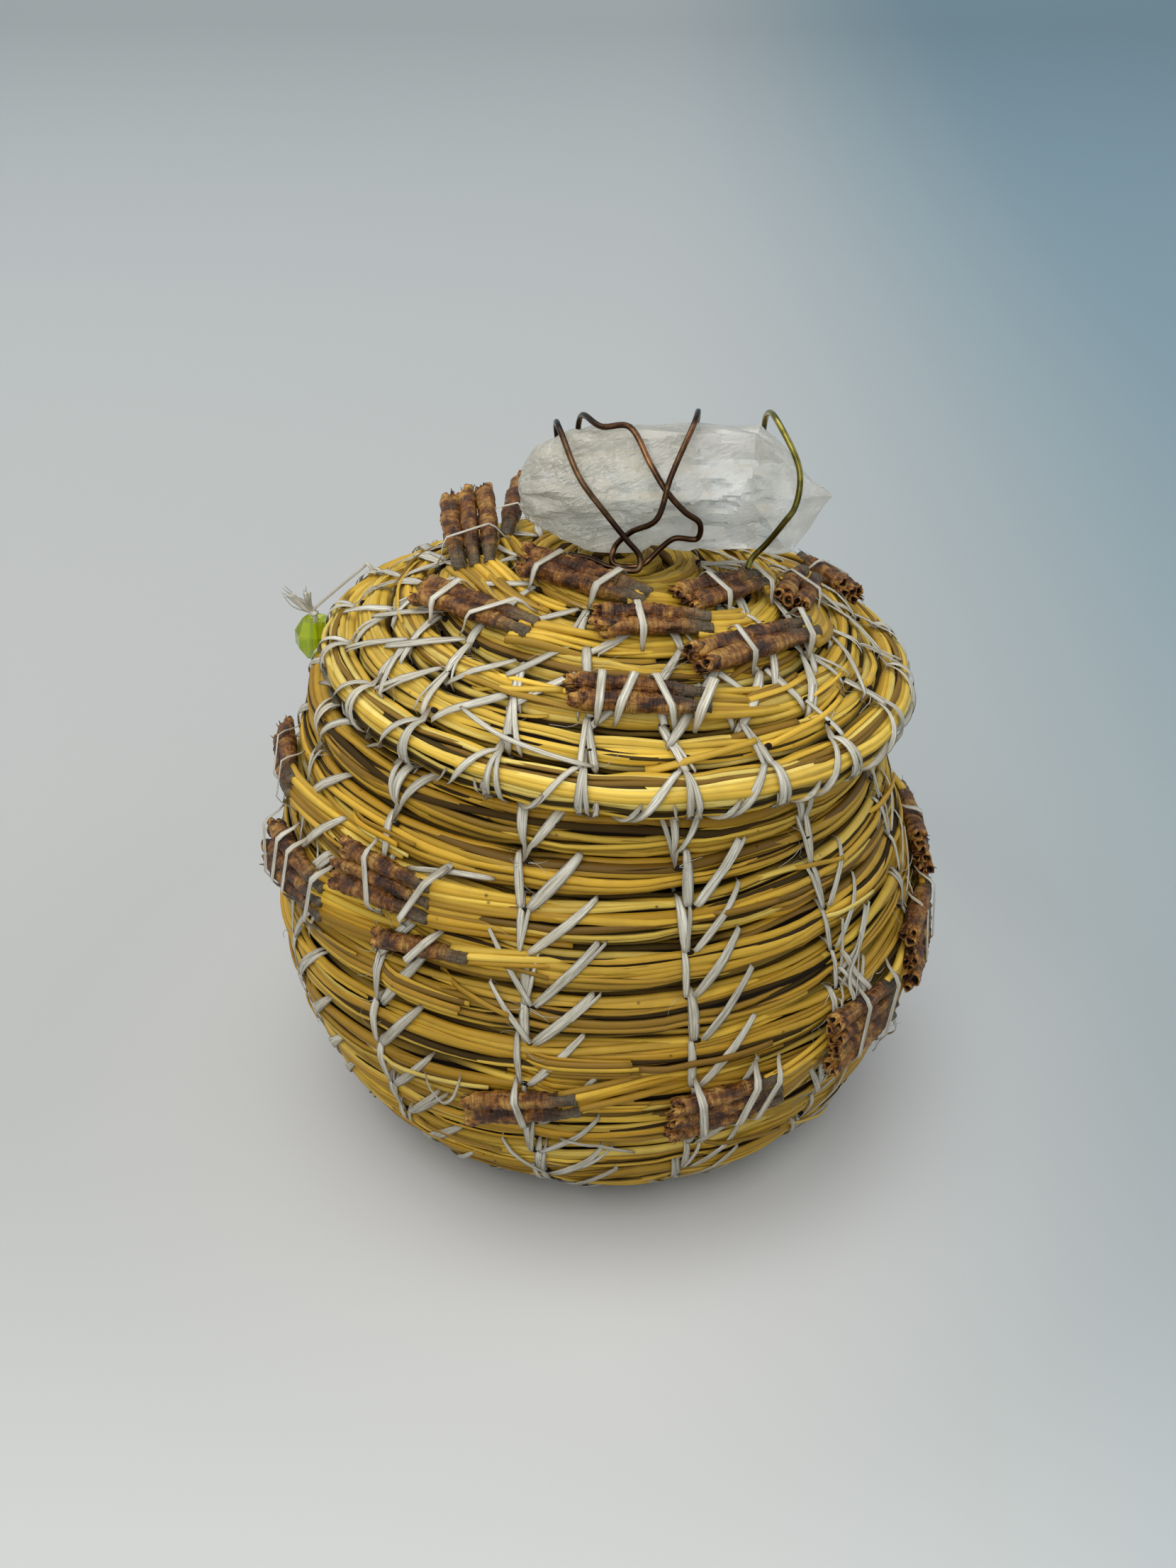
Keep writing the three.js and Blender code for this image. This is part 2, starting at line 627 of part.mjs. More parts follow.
/** A wire through points, bent smoothly. */
function addWire(name, finish, points) {
  const path = new THREE.CatmullRomCurve3(points, false, 'centripetal');
  const circle = new THREE.Shape(Array.from({ length: WIRE_SIDES }, (_, corner) => {
    const angle = (TURN * corner) / WIRE_SIDES;
    return new THREE.Vector2(WIRE_RADIUS * Math.cos(angle), WIRE_RADIUS * Math.sin(angle));
  }));
  add(name, finish, new THREE.ExtrudeGeometry(circle, {
    steps: 3 * points.length, extrudePath: path, bevelEnabled: false,
  }));
}

/** Middle of a wire on the lid, or over it, at shares of the crystal's length and half depth. */
function wireOnLid(at, beside, rise = 0) {
  const x = CRYSTAL_LEFT + at * CRYSTAL_LENGTH;
  const y = beside * CRYSTAL_HALF_DEPTH;
  const away = Math.hypot(x - LID_SHIFT, y);
  const drop = away < 1.6 * lidCoil.pitch ? 0 : LID_RISE * (away / LID_RADIUS) ** 2;
  return new THREE.Vector3(x, y, CROWN_TOP - drop + TILT * x + WIRE_RADIUS + 1.4 * CLEARANCE + rise);
}

/** The wires that hold the crystal down on the crown. */
function addWires() {
  const near = WIRE_RADIUS + 1.7 * CLEARANCE;
  const over = near + 2 * WIRE_RADIUS + CLEARANCE;
  const [lower, upper] = [0, 1];
  addWire('bronze_wire_hook', 'bronze', [
    wireOnLid(0.155, 1.32),
    offEdge(0.13, 4, near),
    offEdge(0.12, 3, near),
    offEdge(0.14, 2, near),
    offFace(0.2, upper, 0.3, near + 0.3),
    offFace(0.29, lower, 0.8, near + 0.3),
    offFace(0.35, lower, 0.45, over),
    offFace(0.39, lower, 0.22, over + 0.6),
    wireOnLid(0.386, -1.17),
    wireOnLid(0.308, -1.17),
    wireOnLid(0.226, -0.8),
    wireOnLid(0.165, -0.7),
  ]);
  addWire('bronze_wire_loop', 'bronze', [
    wireOnLid(0.579, 1.32),
    offEdge(0.56, 4, near),
    offEdge(0.57, 3, near),
    offEdge(0.55, 2, near + 0.2),
    offFace(0.48, upper, 0.3, over),
    offFace(0.44, lower, 0.85, over),
    offFace(0.36, lower, 0.5, near),
    offFace(0.31, lower, 0.2, near),
    wireOnLid(0.306, -0.96),
    wireOnLid(0.395, -0.96),
    offFace(0.46, lower, 0.28, near + 0.3),
    offFace(0.5, lower, 0.42, near),
    offFace(0.57, lower, 0.42, near),
    offFace(0.575, lower, 0.7, near),
    offFace(0.53, lower, 0.88, near),
    offFace(0.47, upper, 0.12, near),
    offFace(0.42, upper, 0.5, near),
    offEdge(0.35, 2, near),
    offEdge(0.27, 2, near),
    offEdge(0.2, 3, near),
    offEdge(0.19, 4, near),
    wireOnLid(0.221, 1.32),
  ]);
  addWire('brass_wire_loop', 'brass', [
    wireOnLid(0.72, 1.32),
    offEdge(0.78, 4, near + 0.6),
    offEdge(0.79, 3, near),
    offEdge(0.82, 2, near),
    offFace(0.88, upper, 0.45, near - 0.4),
    offFace(0.87, lower, 0.98, near - 0.5),
    offFace(0.835, lower, 0.7, near),
    offFace(0.79, lower, 0.35, near),
    offFace(0.745, lower, 0.08, near + 0.3),
    wireOnLid(0.735, -0.84, 3.2),
  ]);
}

// Bead: it hangs from the lid's rim on a knotted end of sinew, beside the mouth.
const BEAD_ANGLE = 158.5 * DEGREE;
const KNOT_ANGLE = 155 * DEGREE;
const BEAD_PLACE = bodyCoil.point(
  bodyCoil.length - 0.7 * bodyCoil.pitch, BODY_DEPTH / 2 + CLEARANCE + BEAD_RADIUS, BEAD_ANGLE);

/** The bead, and the thread that it can turn on. */
function addBead() {
  const outline = [
    [BEAD_BORE, -0.82], [0.6 * BEAD_RADIUS, -0.94], [BEAD_RADIUS, -0.32],
    [BEAD_RADIUS, 0.32], [0.6 * BEAD_RADIUS, 0.94], [BEAD_BORE, 0.82], [BEAD_BORE, -0.82],
  ].map(([r, height]) => new THREE.Vector2(r, height * BEAD_RADIUS));
  const bead = add('bead', 'bead', new THREE.LatheGeometry(outline, 8));
  bead.rotation.x = TURN / 4;
  bead.position.copy(BEAD_PLACE);
  const off = LID_DEPTH / 2 + SINEW_THICKNESS + 2 * CLEARANCE + 2 * THREAD_RADIUS;
  const rim = lidCoil.point(lidCoil.length, off, KNOT_ANGLE);
  const stop = BEAD_PLACE.z - 0.94 * BEAD_RADIUS - CLEARANCE;
  const on = (height) => new THREE.Vector3(BEAD_PLACE.x, BEAD_PLACE.y, height);
  const knot = on(BEAD_PLACE.z + 1.2 * BEAD_RADIUS);
  const path = [
    rim.clone().add(new THREE.Vector3(-0.5, 0, 0.9)),
    rim.clone().add(new THREE.Vector3(-0.5, 0, 0)),
    rim.clone().add(new THREE.Vector3(-1.4, 0.4, -1.6)),
    on(BEAD_PLACE.z + 1.45 * BEAD_RADIUS),
    knot,
    on(BEAD_PLACE.z + BEAD_RADIUS),
    on(stop),
    on(stop - 0.4),
    on(stop - 1.4),
    on(stop - 2),
  ];
  const tail = [
    knot.clone(),
    knot.clone().add(new THREE.Vector3(-1.5, -0.3, 1)),
    knot.clone().add(new THREE.Vector3(-3.5, -0.5, 3.4)),
  ];
  const thick = (share) => share * THREAD_RADIUS;
  add('bead_thread', 'sinew', join([
    tube(path, [0.9, 1.7, 1.1, 1, 1.7, 1, 1, 2.7, 2.7, 1.2].map(thick)),
    tube(tail, [1, 0.9, 0.5].map(thick)),
  ]));
}

addCoils();
addSeat();
addCaps();
addSinew();
addCrystal();
addWires();
addBead();

export default basket;
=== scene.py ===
"""The looks of the lidded pine needle basket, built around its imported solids.

Needles, stitches, caps, crystal, wires and thread are surfaces worked out in millimetres as whole
arrays and put into meshes in metres. A coil is a spiral on a surface of revolution: every place
on it is given by a distance along its outline, a height over it and an angle round the basket.
"""

import logging
import math
from dataclasses import astuple, dataclass, field
from enum import Enum
from functools import cached_property, reduce
from typing import Callable

import bpy
import numpy as np
from mathutils import Matrix, Vector


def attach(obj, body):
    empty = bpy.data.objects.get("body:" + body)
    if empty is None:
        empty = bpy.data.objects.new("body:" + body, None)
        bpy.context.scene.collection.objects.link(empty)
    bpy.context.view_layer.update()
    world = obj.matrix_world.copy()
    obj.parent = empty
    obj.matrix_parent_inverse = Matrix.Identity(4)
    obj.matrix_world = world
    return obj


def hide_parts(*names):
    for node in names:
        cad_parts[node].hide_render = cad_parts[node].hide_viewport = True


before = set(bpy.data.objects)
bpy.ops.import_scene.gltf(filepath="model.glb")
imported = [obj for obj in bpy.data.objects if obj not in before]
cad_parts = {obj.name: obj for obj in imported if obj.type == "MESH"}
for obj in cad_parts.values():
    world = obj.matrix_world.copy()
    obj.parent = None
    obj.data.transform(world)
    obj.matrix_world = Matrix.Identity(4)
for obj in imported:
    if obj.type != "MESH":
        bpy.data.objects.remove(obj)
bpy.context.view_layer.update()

LOG = logging.getLogger("basket")
Array = np.ndarray
Socket = bpy.types.NodeSocket
Colour = tuple[float, float, float]
Looks = dict[str, float | Socket]

MM = 0.001
TURN = 2 * math.pi
DEGREE = TURN / 360
CLEARANCE = 0.3

# Basket and lid: radii are those of the middle of the coil.
FOOT_RADIUS = 30.5
BELLY_RADIUS = 44.6
MOUTH_RADIUS = 37.4
MOUTH_HEIGHT = 64.7
BODY_DEPTH = 6.2
BODY_TURNS = 14
LID_OVERHANG = 1.4
LID_RISE = 13.3
LID_DEPTH = 5.8
LID_TURNS = 6
SEAT_PLAY = 3.7
SEAT_DEPTH = 5.2
SEAT_HEIGHT = 5.8

# Handwork: where a coil starts, how unevenly it climbs, and how the basket leans.
START_ANGLE = 170 * DEGREE
CLIMB_SWING = 0.1
LEAN = -0.034
TILT = -0.06
TILT_FROM = 30
LID_SHIFT = 1.3

PINCH = 0.13
BODY_COLUMNS = 13
LID_COLUMNS = 20
CAP_RADIUS = 1.4
CAP_WIDTH = 2.65
CAP_SINK = 0.9
CAP_STAGGER = 0.06
WIRE_RADIUS = 0.42
CRYSTAL_HALF_DEPTH = 7.2
CRYSTAL_LENGTH = 42.5
BEAD_RADIUS = 3.2
THREAD_RADIUS = 0.4
HOLE_RADIUS = 0.42
LEAST_HEIGHT = 0.02

# Section of a flat ribbon: places across it, and sides over and under it.
LENS_ACROSS = np.array([-1, -0.5, 0.5, 1, 0.5, -0.5])
LENS_CROWN = np.array([0, 1, 1, 0, -1, -1])

# Each tube has its own part of the map: so far along, and so far round.
MAP_STEP = 37
MAP_SHIFT = 1.7

# Places worked out on each span of an outline, and on each turn of a coil.
FINE_STEPS = 60

# How far a stitch squeezes the coil, and how its rows wander.
PINCH_REACH = 2.6
WANDER_LENGTH = 9

# How deep stitches end in the rows, and how high loose sinew lies over them.
BURIED = 0.75
SLACK_LIFT = 0.12

LID_RADIUS = MOUTH_RADIUS + LID_OVERHANG
SEAT_RADIUS = MOUTH_RADIUS - BODY_DEPTH / 2 - SEAT_PLAY - SEAT_DEPTH / 2
SEAT_SHIFT = (LID_SHIFT + LEAN * MOUTH_HEIGHT) / 2
LID_RIM_HEIGHT = MOUTH_HEIGHT + BODY_DEPTH / 2 + CLEARANCE + LID_DEPTH / 2
CROWN_TOP = LID_RIM_HEIGHT + LID_RISE + LID_DEPTH / 2


class Lie(Enum):
    """Which of the three leaning bodies of the real basket a point belongs to."""

    BASKET = "basket"
    LID = "lid"
    SEAT = "seat"


class Side(Enum):
    """The side of a wall that stitches are seen on; the value is the sign of the height."""

    OUTSIDE = 1
    INSIDE = -1


def smooth_step(low: float, high: float, value: Array) -> Array:
    """Share from 0 to 1 that rises smoothly while value goes from low to high."""
    share = np.clip((value - low) / (high - low), 0, 1)
    return share * share * (3 - 2 * share)


def unit(vector: Array) -> Array:
    """The same direction at length one, along the last axis."""
    return vector / np.linalg.norm(vector, axis=-1, keepdims=True)


def circle(count: int) -> Array:
    """Angles of points spread evenly round a circle."""
    return TURN * np.arange(count) / count


def joined(*values: Array | float) -> Array:
    """Values spread to one shape and put together on a new last axis."""
    return np.stack(np.broadcast_arrays(*values), axis=-1)


def settle(x: Array, y: Array, z: Array, lie: Lie) -> Array:
    """Puts points of an upright basket where they are on the real, slightly leaning one.

    Args:
        x, y, z: Places in millimetres.
        lie: The body that they belong to.

    Returns:
        Points, with the three coordinates on a new last axis. The basket moves aside with its
        height and its upper part tilts; the lid and its seat are shifted and tilt as a whole.
    """
    if lie is Lie.BASKET:
        x = x + LEAN * z
        z = z + TILT * smooth_step(TILT_FROM, MOUTH_HEIGHT, z) * x
    else:
        x = x + (LID_SHIFT if lie is Lie.LID else SEAT_SHIFT)
        z = z + TILT * x
    return joined(x, y, z)


def curve_through(points: Array, per_span: int, weighed: bool = False) -> Array:
    """Smooth line through points, a cubic on each span.

    Args:
        points: Points as rows.
        per_span: Places worked out on each span.
        weighed: The slopes allow for how far apart the points are, and the ends run straight on.

    Returns:
        Places on the line, as rows. The slope at a point comes from the spans on both sides of
        it, each weighed by the root of its length, or all alike.
    """
    ends = (2 * points[0] - points[1], 2 * points[-1] - points[-2]) if weighed else points[[0, -1]]
    line = np.vstack([ends[0], points, ends[1]])
    p0, p1, p2, p3 = (line[k : k + len(points) - 1, None] for k in range(4))
    d0, d1, d2 = 1.0, 1.0, 1.0
    if weighed:
        spans = ((p0, p1), (p1, p2), (p2, p3))
        d0, d1, d2 = (np.sqrt(np.linalg.norm(b - a, axis=-1, keepdims=True)) for a, b in spans)
    leave = ((p1 - p0) / d0 - (p2 - p0) / (d0 + d1) + (p2 - p1) / d1) * d1
    arrive = ((p2 - p1) / d1 - (p3 - p1) / (d1 + d2) + (p3 - p2) / d2) * d1
    t = np.linspace(0, 1, per_span, endpoint=False)[None, :, None]
    cubic = p1 + leave * t + (3 * p2 - 3 * p1 - 2 * leave - arrive) * t**2
    cubic = cubic + (2 * p1 - 2 * p2 + leave + arrive) * t**3
    return np.vstack([cubic.reshape(-1, points.shape[1]), points[-1:]])


@dataclass
class Coil:
    """A spiral coil on a surface of revolution, ended by one closed round at its outer edge.

    Args:
        outline: Radius and height of the middle of the coil, from the middle outward.
        turns: Turns before the closed round.
        depth: Thickness of the coil across the wall.
        facing: 1 where the outside lies to the right of the outline, otherwise -1.
        lie: The body that the coil belongs to.
        sway: How far the rows wander up and down, in millimetres.
    """

    outline: list[tuple[float, float]]
    turns: int
    depth: float
    facing: int
    lie: Lie
    sway: float = 0.0
    columns: Array = field(default_factory=lambda: np.zeros(0))
    swing: float = 0.0

    def __post_init__(self) -> None:
        """Works out the outline, the pitch of the rows and the length of the coil."""
        self.trace = curve_through(np.array(self.outline, float), FINE_STEPS)
        steps = np.linalg.norm(np.diff(self.trace, axis=0), axis=1)
        self.arc = np.concatenate([[0.0], np.cumsum(steps)])
        self.slope = unit(np.gradient(self.trace, self.arc, axis=0))
        self.length = float(self.arc[-1])
        self.pitch = self.length / (self.turns + 1)
        self.last_groove = self.length - self.pitch / 2
        self.ticks = np.linspace(-1, self.turns, FINE_STEPS * (self.turns + 1) + 1)
        low, high = self.edges(self.ticks)
        radius = self.along((low + high) / 2)[0]
        self.reach = np.concatenate([[0.0], np.cumsum(radius[1:] * TURN / FINE_STEPS)])

    def along(self, distance: Array) -> tuple[Array, Array, Array, Array]:
        """Radius, height and direction of the outline at distances from the middle."""
        inside = np.clip(distance, 0, self.length)
        columns = (self.trace[:, 0], self.trace[:, 1], self.slope[:, 0], self.slope[:, 1])
        r, z, dr, dz = (np.interp(inside, self.arc, column) for column in columns)
        beyond = distance - inside
        return r + beyond * dr, z + beyond * dz, dr, dz

    def groove(self, turn: Array) -> Array:
        """Distance of the groove before the coil; one turn climbs unevenly by one pitch."""
        whole = np.floor(turn)
        share = turn - whole
        return self.pitch * (whole + 0.5 + share - CLIMB_SWING * np.sin(TURN * share))

    def edges(self, turn: Array) -> tuple[Array, Array]:
        """Lower and upper edge of the coil; its start lies against the middle, and its last
        turn thins to nothing under the closed round."""
        low = self.groove(turn)
        high = np.where(turn < 0, low + self.pitch, np.minimum(low + self.pitch, self.last_groove))
        return np.where(turn < 0, np.maximum(0, low), low), high

    def share(self, angle: Array) -> Array:
        """Share of a turn, from the coil's start, at an angle round the basket."""
        return np.mod((angle - START_ANGLE) / TURN, 1)

    def crest(self, turn: int, angle: float) -> float:
        """Distance of the crest of a turn at an angle."""
        low, high = self.edges(np.array(turn + self.share(angle)))
        return float(low + high) / 2

    def place(self, distance: Array, up: Array, out: Array, angle: Array) -> Array:
        """Point at a distance along the outline, then up along its direction and out from it.

        Args:
            distance: Distance along the outline, in millimetres.
            up: Further way along the straight direction of the outline there.
            out: Height over the middle of the coil, to the outside.
            angle: Angle round the basket.

        Returns:
            Points on the leaning basket. The outline turns about the middle line, and each row
            wanders a little up and down, three times round.
        """
        middle = np.sin(np.pi * np.clip(distance / self.length, 0, 1))
        wander = self.sway * middle * np.sin(3 * angle + distance / WANDER_LENGTH)
        r, z, dr, dz = self.along(distance + wander)
        r, z = r + up * dr + self.facing * out * dz, z + up * dz - self.facing * out * dr
        return settle(r * np.cos(angle), r * np.sin(angle), z, self.lie)

    def point(self, distance: float, out: float, angle: float) -> Array:
        """One point at a distance along the outline and a height over the middle of the coil."""
        return self.place(np.array(distance), 0.0, out, np.array(angle))

    def locate(self, points: Array) -> tuple[Array, Array, Array]:
        """Where points lie on the coil.

        Args:
            points: Points in millimetres, with the coordinates on the last axis.

        Returns:
            Distance along the outline, height over it and angle round the basket. The lean is
            taken off in a few rounds, and the nearest point of the outline is the foot.
        """
        x, y, z = np.moveaxis(np.asarray(points, float), -1, 0)
        if self.lie is Lie.BASKET:
            level = z
            for _ in range(4):
                level = z - TILT * smooth_step(TILT_FROM, MOUTH_HEIGHT, level) * x
            x = x - LEAN * level
        else:
            level = z - TILT * x
            x = x - LID_SHIFT
        away = joined(np.hypot(x, y), level)[..., None, :] - self.trace
        nearest = (away**2).sum(axis=-1).argmin(axis=-1)
        gap = np.take_along_axis(away, nearest[..., None, None], axis=-2)[..., 0, :]
        slope = self.slope[nearest]
        out = self.facing * (gap[..., 0] * slope[..., 1] - gap[..., 1] * slope[..., 0])
        return self.arc[nearest], out, np.arctan2(y, x)

    def travelled(self, turn: Array) -> Array:
        """Length of needles, in millimetres, from the coil's start to a number of turns."""
        return np.interp(turn, self.ticks, self.reach)

    def surface(self, distance: Array, angle: Array) -> Array:
        """Height of the rows over the middle of the coil: half ovals side by side."""
        low = self.pitch * (0.5 + self.share(angle) - CLIMB_SWING * np.sin(TURN * self.share(angle)))
        row = np.mod((distance - low) / self.pitch, 1)
        row = np.where(distance > self.last_groove, (distance - self.last_groove) / self.pitch, row)
        oval = np.sqrt(np.clip(1 - (2 * np.clip(row, 0, 1) - 1) ** 2, 0.2, 1))
        return self.depth / 2 * oval * self.pinch(distance, angle)

    def column_angles(self, distance: Array) -> Array:
        """Angles of the stitch columns, on a new last axis, at distances along the outline."""
        return self.columns + self.swing * (np.asarray(distance)[..., None] - self.length)

    def pinch(self, distance: Array, angle: Array) -> Array:
        """How much the stitches squeeze the bundle: 1 between columns, less in a dip at each."""
        radius = self.along(distance)[0]
        away = np.mod(angle[..., None] - self.column_angles(distance) + np.pi, TURN) - np.pi
        dips = np.exp(-((away * radius[..., None] / PINCH_REACH) ** 2)).sum(axis=-1)
        return 1 - PINCH * np.minimum(dips, 1)


def make_body_coil() -> Coil:
    """The basket's coil: a flat foot and a bellied wall that leans in to the mouth."""
    shoulder = (0.4 * BELLY_RADIUS + 0.6 * MOUTH_RADIUS) * 0.965
    outline = [
        (0, BODY_DEPTH / 2),
        (0.4 * FOOT_RADIUS, BODY_DEPTH / 2),
        (0.8 * FOOT_RADIUS, BODY_DEPTH / 2),
        (FOOT_RADIUS, BODY_DEPTH / 2 + 0.6),
        (0.816 * BELLY_RADIUS, 0.128 * MOUTH_HEIGHT),
        (0.917 * BELLY_RADIUS, 0.247 * MOUTH_HEIGHT),
        (BELLY_RADIUS, 0.464 * MOUTH_HEIGHT),
        (0.964 * BELLY_RADIUS, 0.696 * MOUTH_HEIGHT),
        (shoulder, 0.927 * MOUTH_HEIGHT),
        (MOUTH_RADIUS, MOUTH_HEIGHT),
    ]
    columns = -101.5 * DEGREE + circle(BODY_COLUMNS)
    return Coil(outline, BODY_TURNS, BODY_DEPTH, 1, Lie.BASKET, 0.45, columns)


def make_lid_coil() -> Coil:
    """The lid's coil: a low dome whose height falls with the square of the radius."""
    outline = [(LID_RADIUS * k / 8, LID_RIM_HEIGHT + LID_RISE * (1 - (k / 8) ** 2)) for k in range(9)]
    columns = -94 * DEGREE + circle(LID_COLUMNS)
    return Coil(outline, LID_TURNS, LID_DEPTH, -1, Lie.LID, 0.3, columns, 0.45 * DEGREE)


BODY_COIL = make_body_coil()
LID_COIL = make_lid_coil()


class Graph:
    """A node tree with short ways to add nodes and to join them."""

    def __init__(self, tree: bpy.types.NodeTree) -> None:
        """Takes the tree that the nodes go into."""
        self.tree = tree

    def feed(self, node: bpy.types.Node, inputs: dict) -> None:
        """Sets or links a node's inputs.

        Args:
            node: The node.
            inputs: Values or sockets for its inputs, by name or number.
        """
        for key, value in inputs.items():
            if isinstance(value, Socket):
                self.tree.links.new(value, node.inputs[key])
            else:
                node.inputs[key].default_value = value

    def add(self, kind: str, inputs: dict | None = None, **settings: object) -> bpy.types.Node:
        """Adds a node.

        Args:
            kind: Its type without the leading "ShaderNode".
            inputs: Values or sockets for its inputs, by name or number.
            settings: Values for the node's own settings.

        Returns:
            The node.
        """
        node = self.tree.nodes.new("ShaderNode" + kind)
        for name, value in settings.items():
            setattr(node, name, value)
        self.feed(node, inputs or {})
        return node

    @cached_property
    def place(self) -> Socket:
        """Place on the object, in metres."""
        return self.add("TexCoord").outputs["Object"]

    @cached_property
    def own_map(self) -> Socket:
        """Place on the piece's own map: along it in millimetres, and round it."""
        return self.add("UVMap").outputs[0]

    @cached_property
    def tone(self) -> list[Socket]:
        """Red, green and blue of the piece's tone."""
        tone = self.add("Attribute", attribute_name="tone").outputs["Color"]
        return list(self.add("SeparateColor", {0: tone}).outputs)

    def math(self, operation: str, *values: float | Socket) -> Socket:
        """Output of a Math node over one, two or three values."""
        return self.add("Math", dict(enumerate(values)), operation=operation).outputs[0]

    def times(self, *values: float | Socket) -> Socket:
        """Product of some values."""
        return reduce(lambda product, value: self.math("MULTIPLY", product, value), values)

    def total(self, *terms: tuple[Socket, float]) -> Socket:
        """Sum of values, each times its weight."""
        weighed = [self.times(value, weight) for value, weight in terms]
        return reduce(lambda total, value: self.math("ADD", total, value), weighed)

    def mix(self, share: float | Socket, first: object, second: object, blend: str = "MIX") -> Socket:
        """Colour between two colours."""
        inputs = {0: share, 6: opaque(first), 7: opaque(second)}
        return self.add("Mix", inputs, data_type="RGBA", blend_type=blend).outputs[2]

    def stain(self, colour: Socket, mask: Socket, amount: float, tint: object) -> Socket:
        """Colour drawn toward a tint, by the amount where the mask is one."""
        return self.mix(self.times(mask, amount), colour, tint)

    def shaded(self, colour: Socket, light: Socket, low: float, high: float) -> Socket:
        """Colour times a grey that goes from low to high as the light goes from 0 to 1."""
        level = self.spread(light, 0, 1, low, high)
        grey = self.add("CombineColor", {0: level, 1: level, 2: level}).outputs[0]
        return self.mix(1.0, colour, grey, "MULTIPLY")

    def ramp(self, value: Socket, *stops: tuple[float, Colour]) -> Socket:
        """Colour read from a ramp of stops.

        Args:
            value: Where it is read.
            stops: Positions and colours.

        Returns:
            The colour.
        """
        node = self.add("ValToRGB", {0: value})
        elements = node.color_ramp.elements
        while len(elements) < len(stops):
            elements.new(0.5)
        for element, (position, colour) in zip(elements, stops):
            element.position, element.color = position, opaque(colour)
        return node.outputs[0]

    def spread(
        self,
        value: Socket,
        low: float,
        high: float,
        to_low: float = 0,
        to_high: float = 1,
        kind: str = "LINEAR",
    ) -> Socket:
        """Value carried from one range to another and held inside it."""
        inputs = {0: value, 1: low, 2: high, 3: to_low, 4: to_high}
        return self.add("MapRange", inputs, interpolation_type=kind).outputs[0]

    def noise(self, place: Socket, scale: float, detail: float = 3, rough: float = 0.55) -> Socket:
        """Noise from 0 to 1."""
        inputs = {"Vector": place, "Scale": scale, "Detail": detail, "Roughness": rough}
        return self.add("TexNoise", inputs).outputs[0]

    def relief(self, height: Socket, strength: float, distance: float) -> Socket:
        """Normals of a surface raised by a height, whose full step is a distance in metres."""
        return self.add("Bump", {"Height": height, "Strength": strength, "Distance": distance}).outputs[0]

    def group(self, tree: bpy.types.NodeTree, **inputs: float | Socket) -> Socket:
        """Mask that a shared node group puts out for some inputs."""
        node = self.add("Group", node_tree=tree)
        self.feed(node, inputs)
        return node.outputs[0]

    def streaks(self, along: float, across: float) -> Socket:
        """Lines along the piece, by how often they change along it and across it."""
        return self.group(STREAKS, Place=self.own_map, Along=along, Across=across)

    def specks(self, scale: float, amount: float) -> Socket:
        """Small specks, by their scale and the share of cells that have one."""
        return self.group(SPECKS, Place=self.place, Scale=scale, Amount=amount)

    def ageing(self, start: float) -> Socket:
        """Broad patches of age over a least level."""
        return self.group(AGEING, Place=self.place, From=start)


def opaque(colour: object) -> object:
    """A colour with its alpha of one; a socket stays as it is."""
    return colour if isinstance(colour, Socket) else (*colour, 1)


def make_group(name: str, inputs: dict[str, str], fill: Callable) -> bpy.types.NodeTree:
    """Makes a shader node group that puts out one mask.

    Args:
        name: Name of the group.
        inputs: Kind of each input socket by its name.
        fill: Called with the graph and the input sockets; returns the mask's socket.

    Returns:
        The group's tree.
    """
    tree = bpy.data.node_groups.new(name, "ShaderNodeTree")
    for label, kind in inputs.items():
        tree.interface.new_socket(label, in_out="INPUT", socket_type="NodeSocket" + kind)
    tree.interface.new_socket("Mask", in_out="OUTPUT", socket_type="NodeSocketFloat")
    entry, leave = tree.nodes.new("NodeGroupInput"), tree.nodes.new("NodeGroupOutput")
    tree.links.new(fill(Graph(tree), entry.outputs), leave.inputs["Mask"])
    return tree


def fill_streaks(graph: Graph, given: object) -> Socket:
    """Lines that run along a fibre.

    Args:
        graph: The group's graph.
        given: Its inputs.

    Returns:
        Noise on the fibre's own map, drawn out along it.
    """
    parts = graph.add("SeparateXYZ", {0: given["Place"]}).outputs
    along, across = graph.times(parts[0], given["Along"]), graph.times(parts[1], given["Across"])
    place = graph.add("CombineXYZ", {0: along, 1: across}).outputs[0]
    return graph.spread(graph.noise(place, 1.0, 4, 0.6), 0.3, 0.7)


def fill_specks(graph: Graph, given: object) -> Socket:
    """Small dark specks.

    Args:
        graph: The group's graph.
        given: Its inputs.

    Returns:
        The middles of a few of the cells that fill the space.
    """
    cells = graph.add("TexVoronoi", {"Vector": given["Place"], "Scale": given["Scale"]})
    near = graph.spread(cells.outputs["Distance"], 0.04, 0.16, 1, 0)
    chosen = graph.add("SeparateColor", {0: cells.outputs["Color"]}).outputs[0]
    return graph.times(near, graph.math("LESS_THAN", chosen, given["Amount"]))


def fill_ageing(graph: Graph, given: object) -> Socket:
    """Broad patches of age.

    Args:
        graph: The group's graph.
        given: Its inputs.

    Returns:
        Broad and fine noise together, over a least level.
    """
    broad = graph.noise(given["Place"], 38.0, 3, 0.6)
    fine = graph.noise(given["Place"], 420.0, 2, 0.5)
    return graph.spread(graph.total((broad, 1), (fine, 0.35)), given["From"], 0.95)


STREAKS = make_group("fibre_streaks", {"Place": "Vector", "Along": "Float", "Across": "Float"}, fill_streaks)
SPECKS = make_group("dark_specks", {"Place": "Vector", "Scale": "Float", "Amount": "Float"}, fill_specks)
AGEING = make_group("ageing", {"Place": "Vector", "From": "Float"}, fill_ageing)


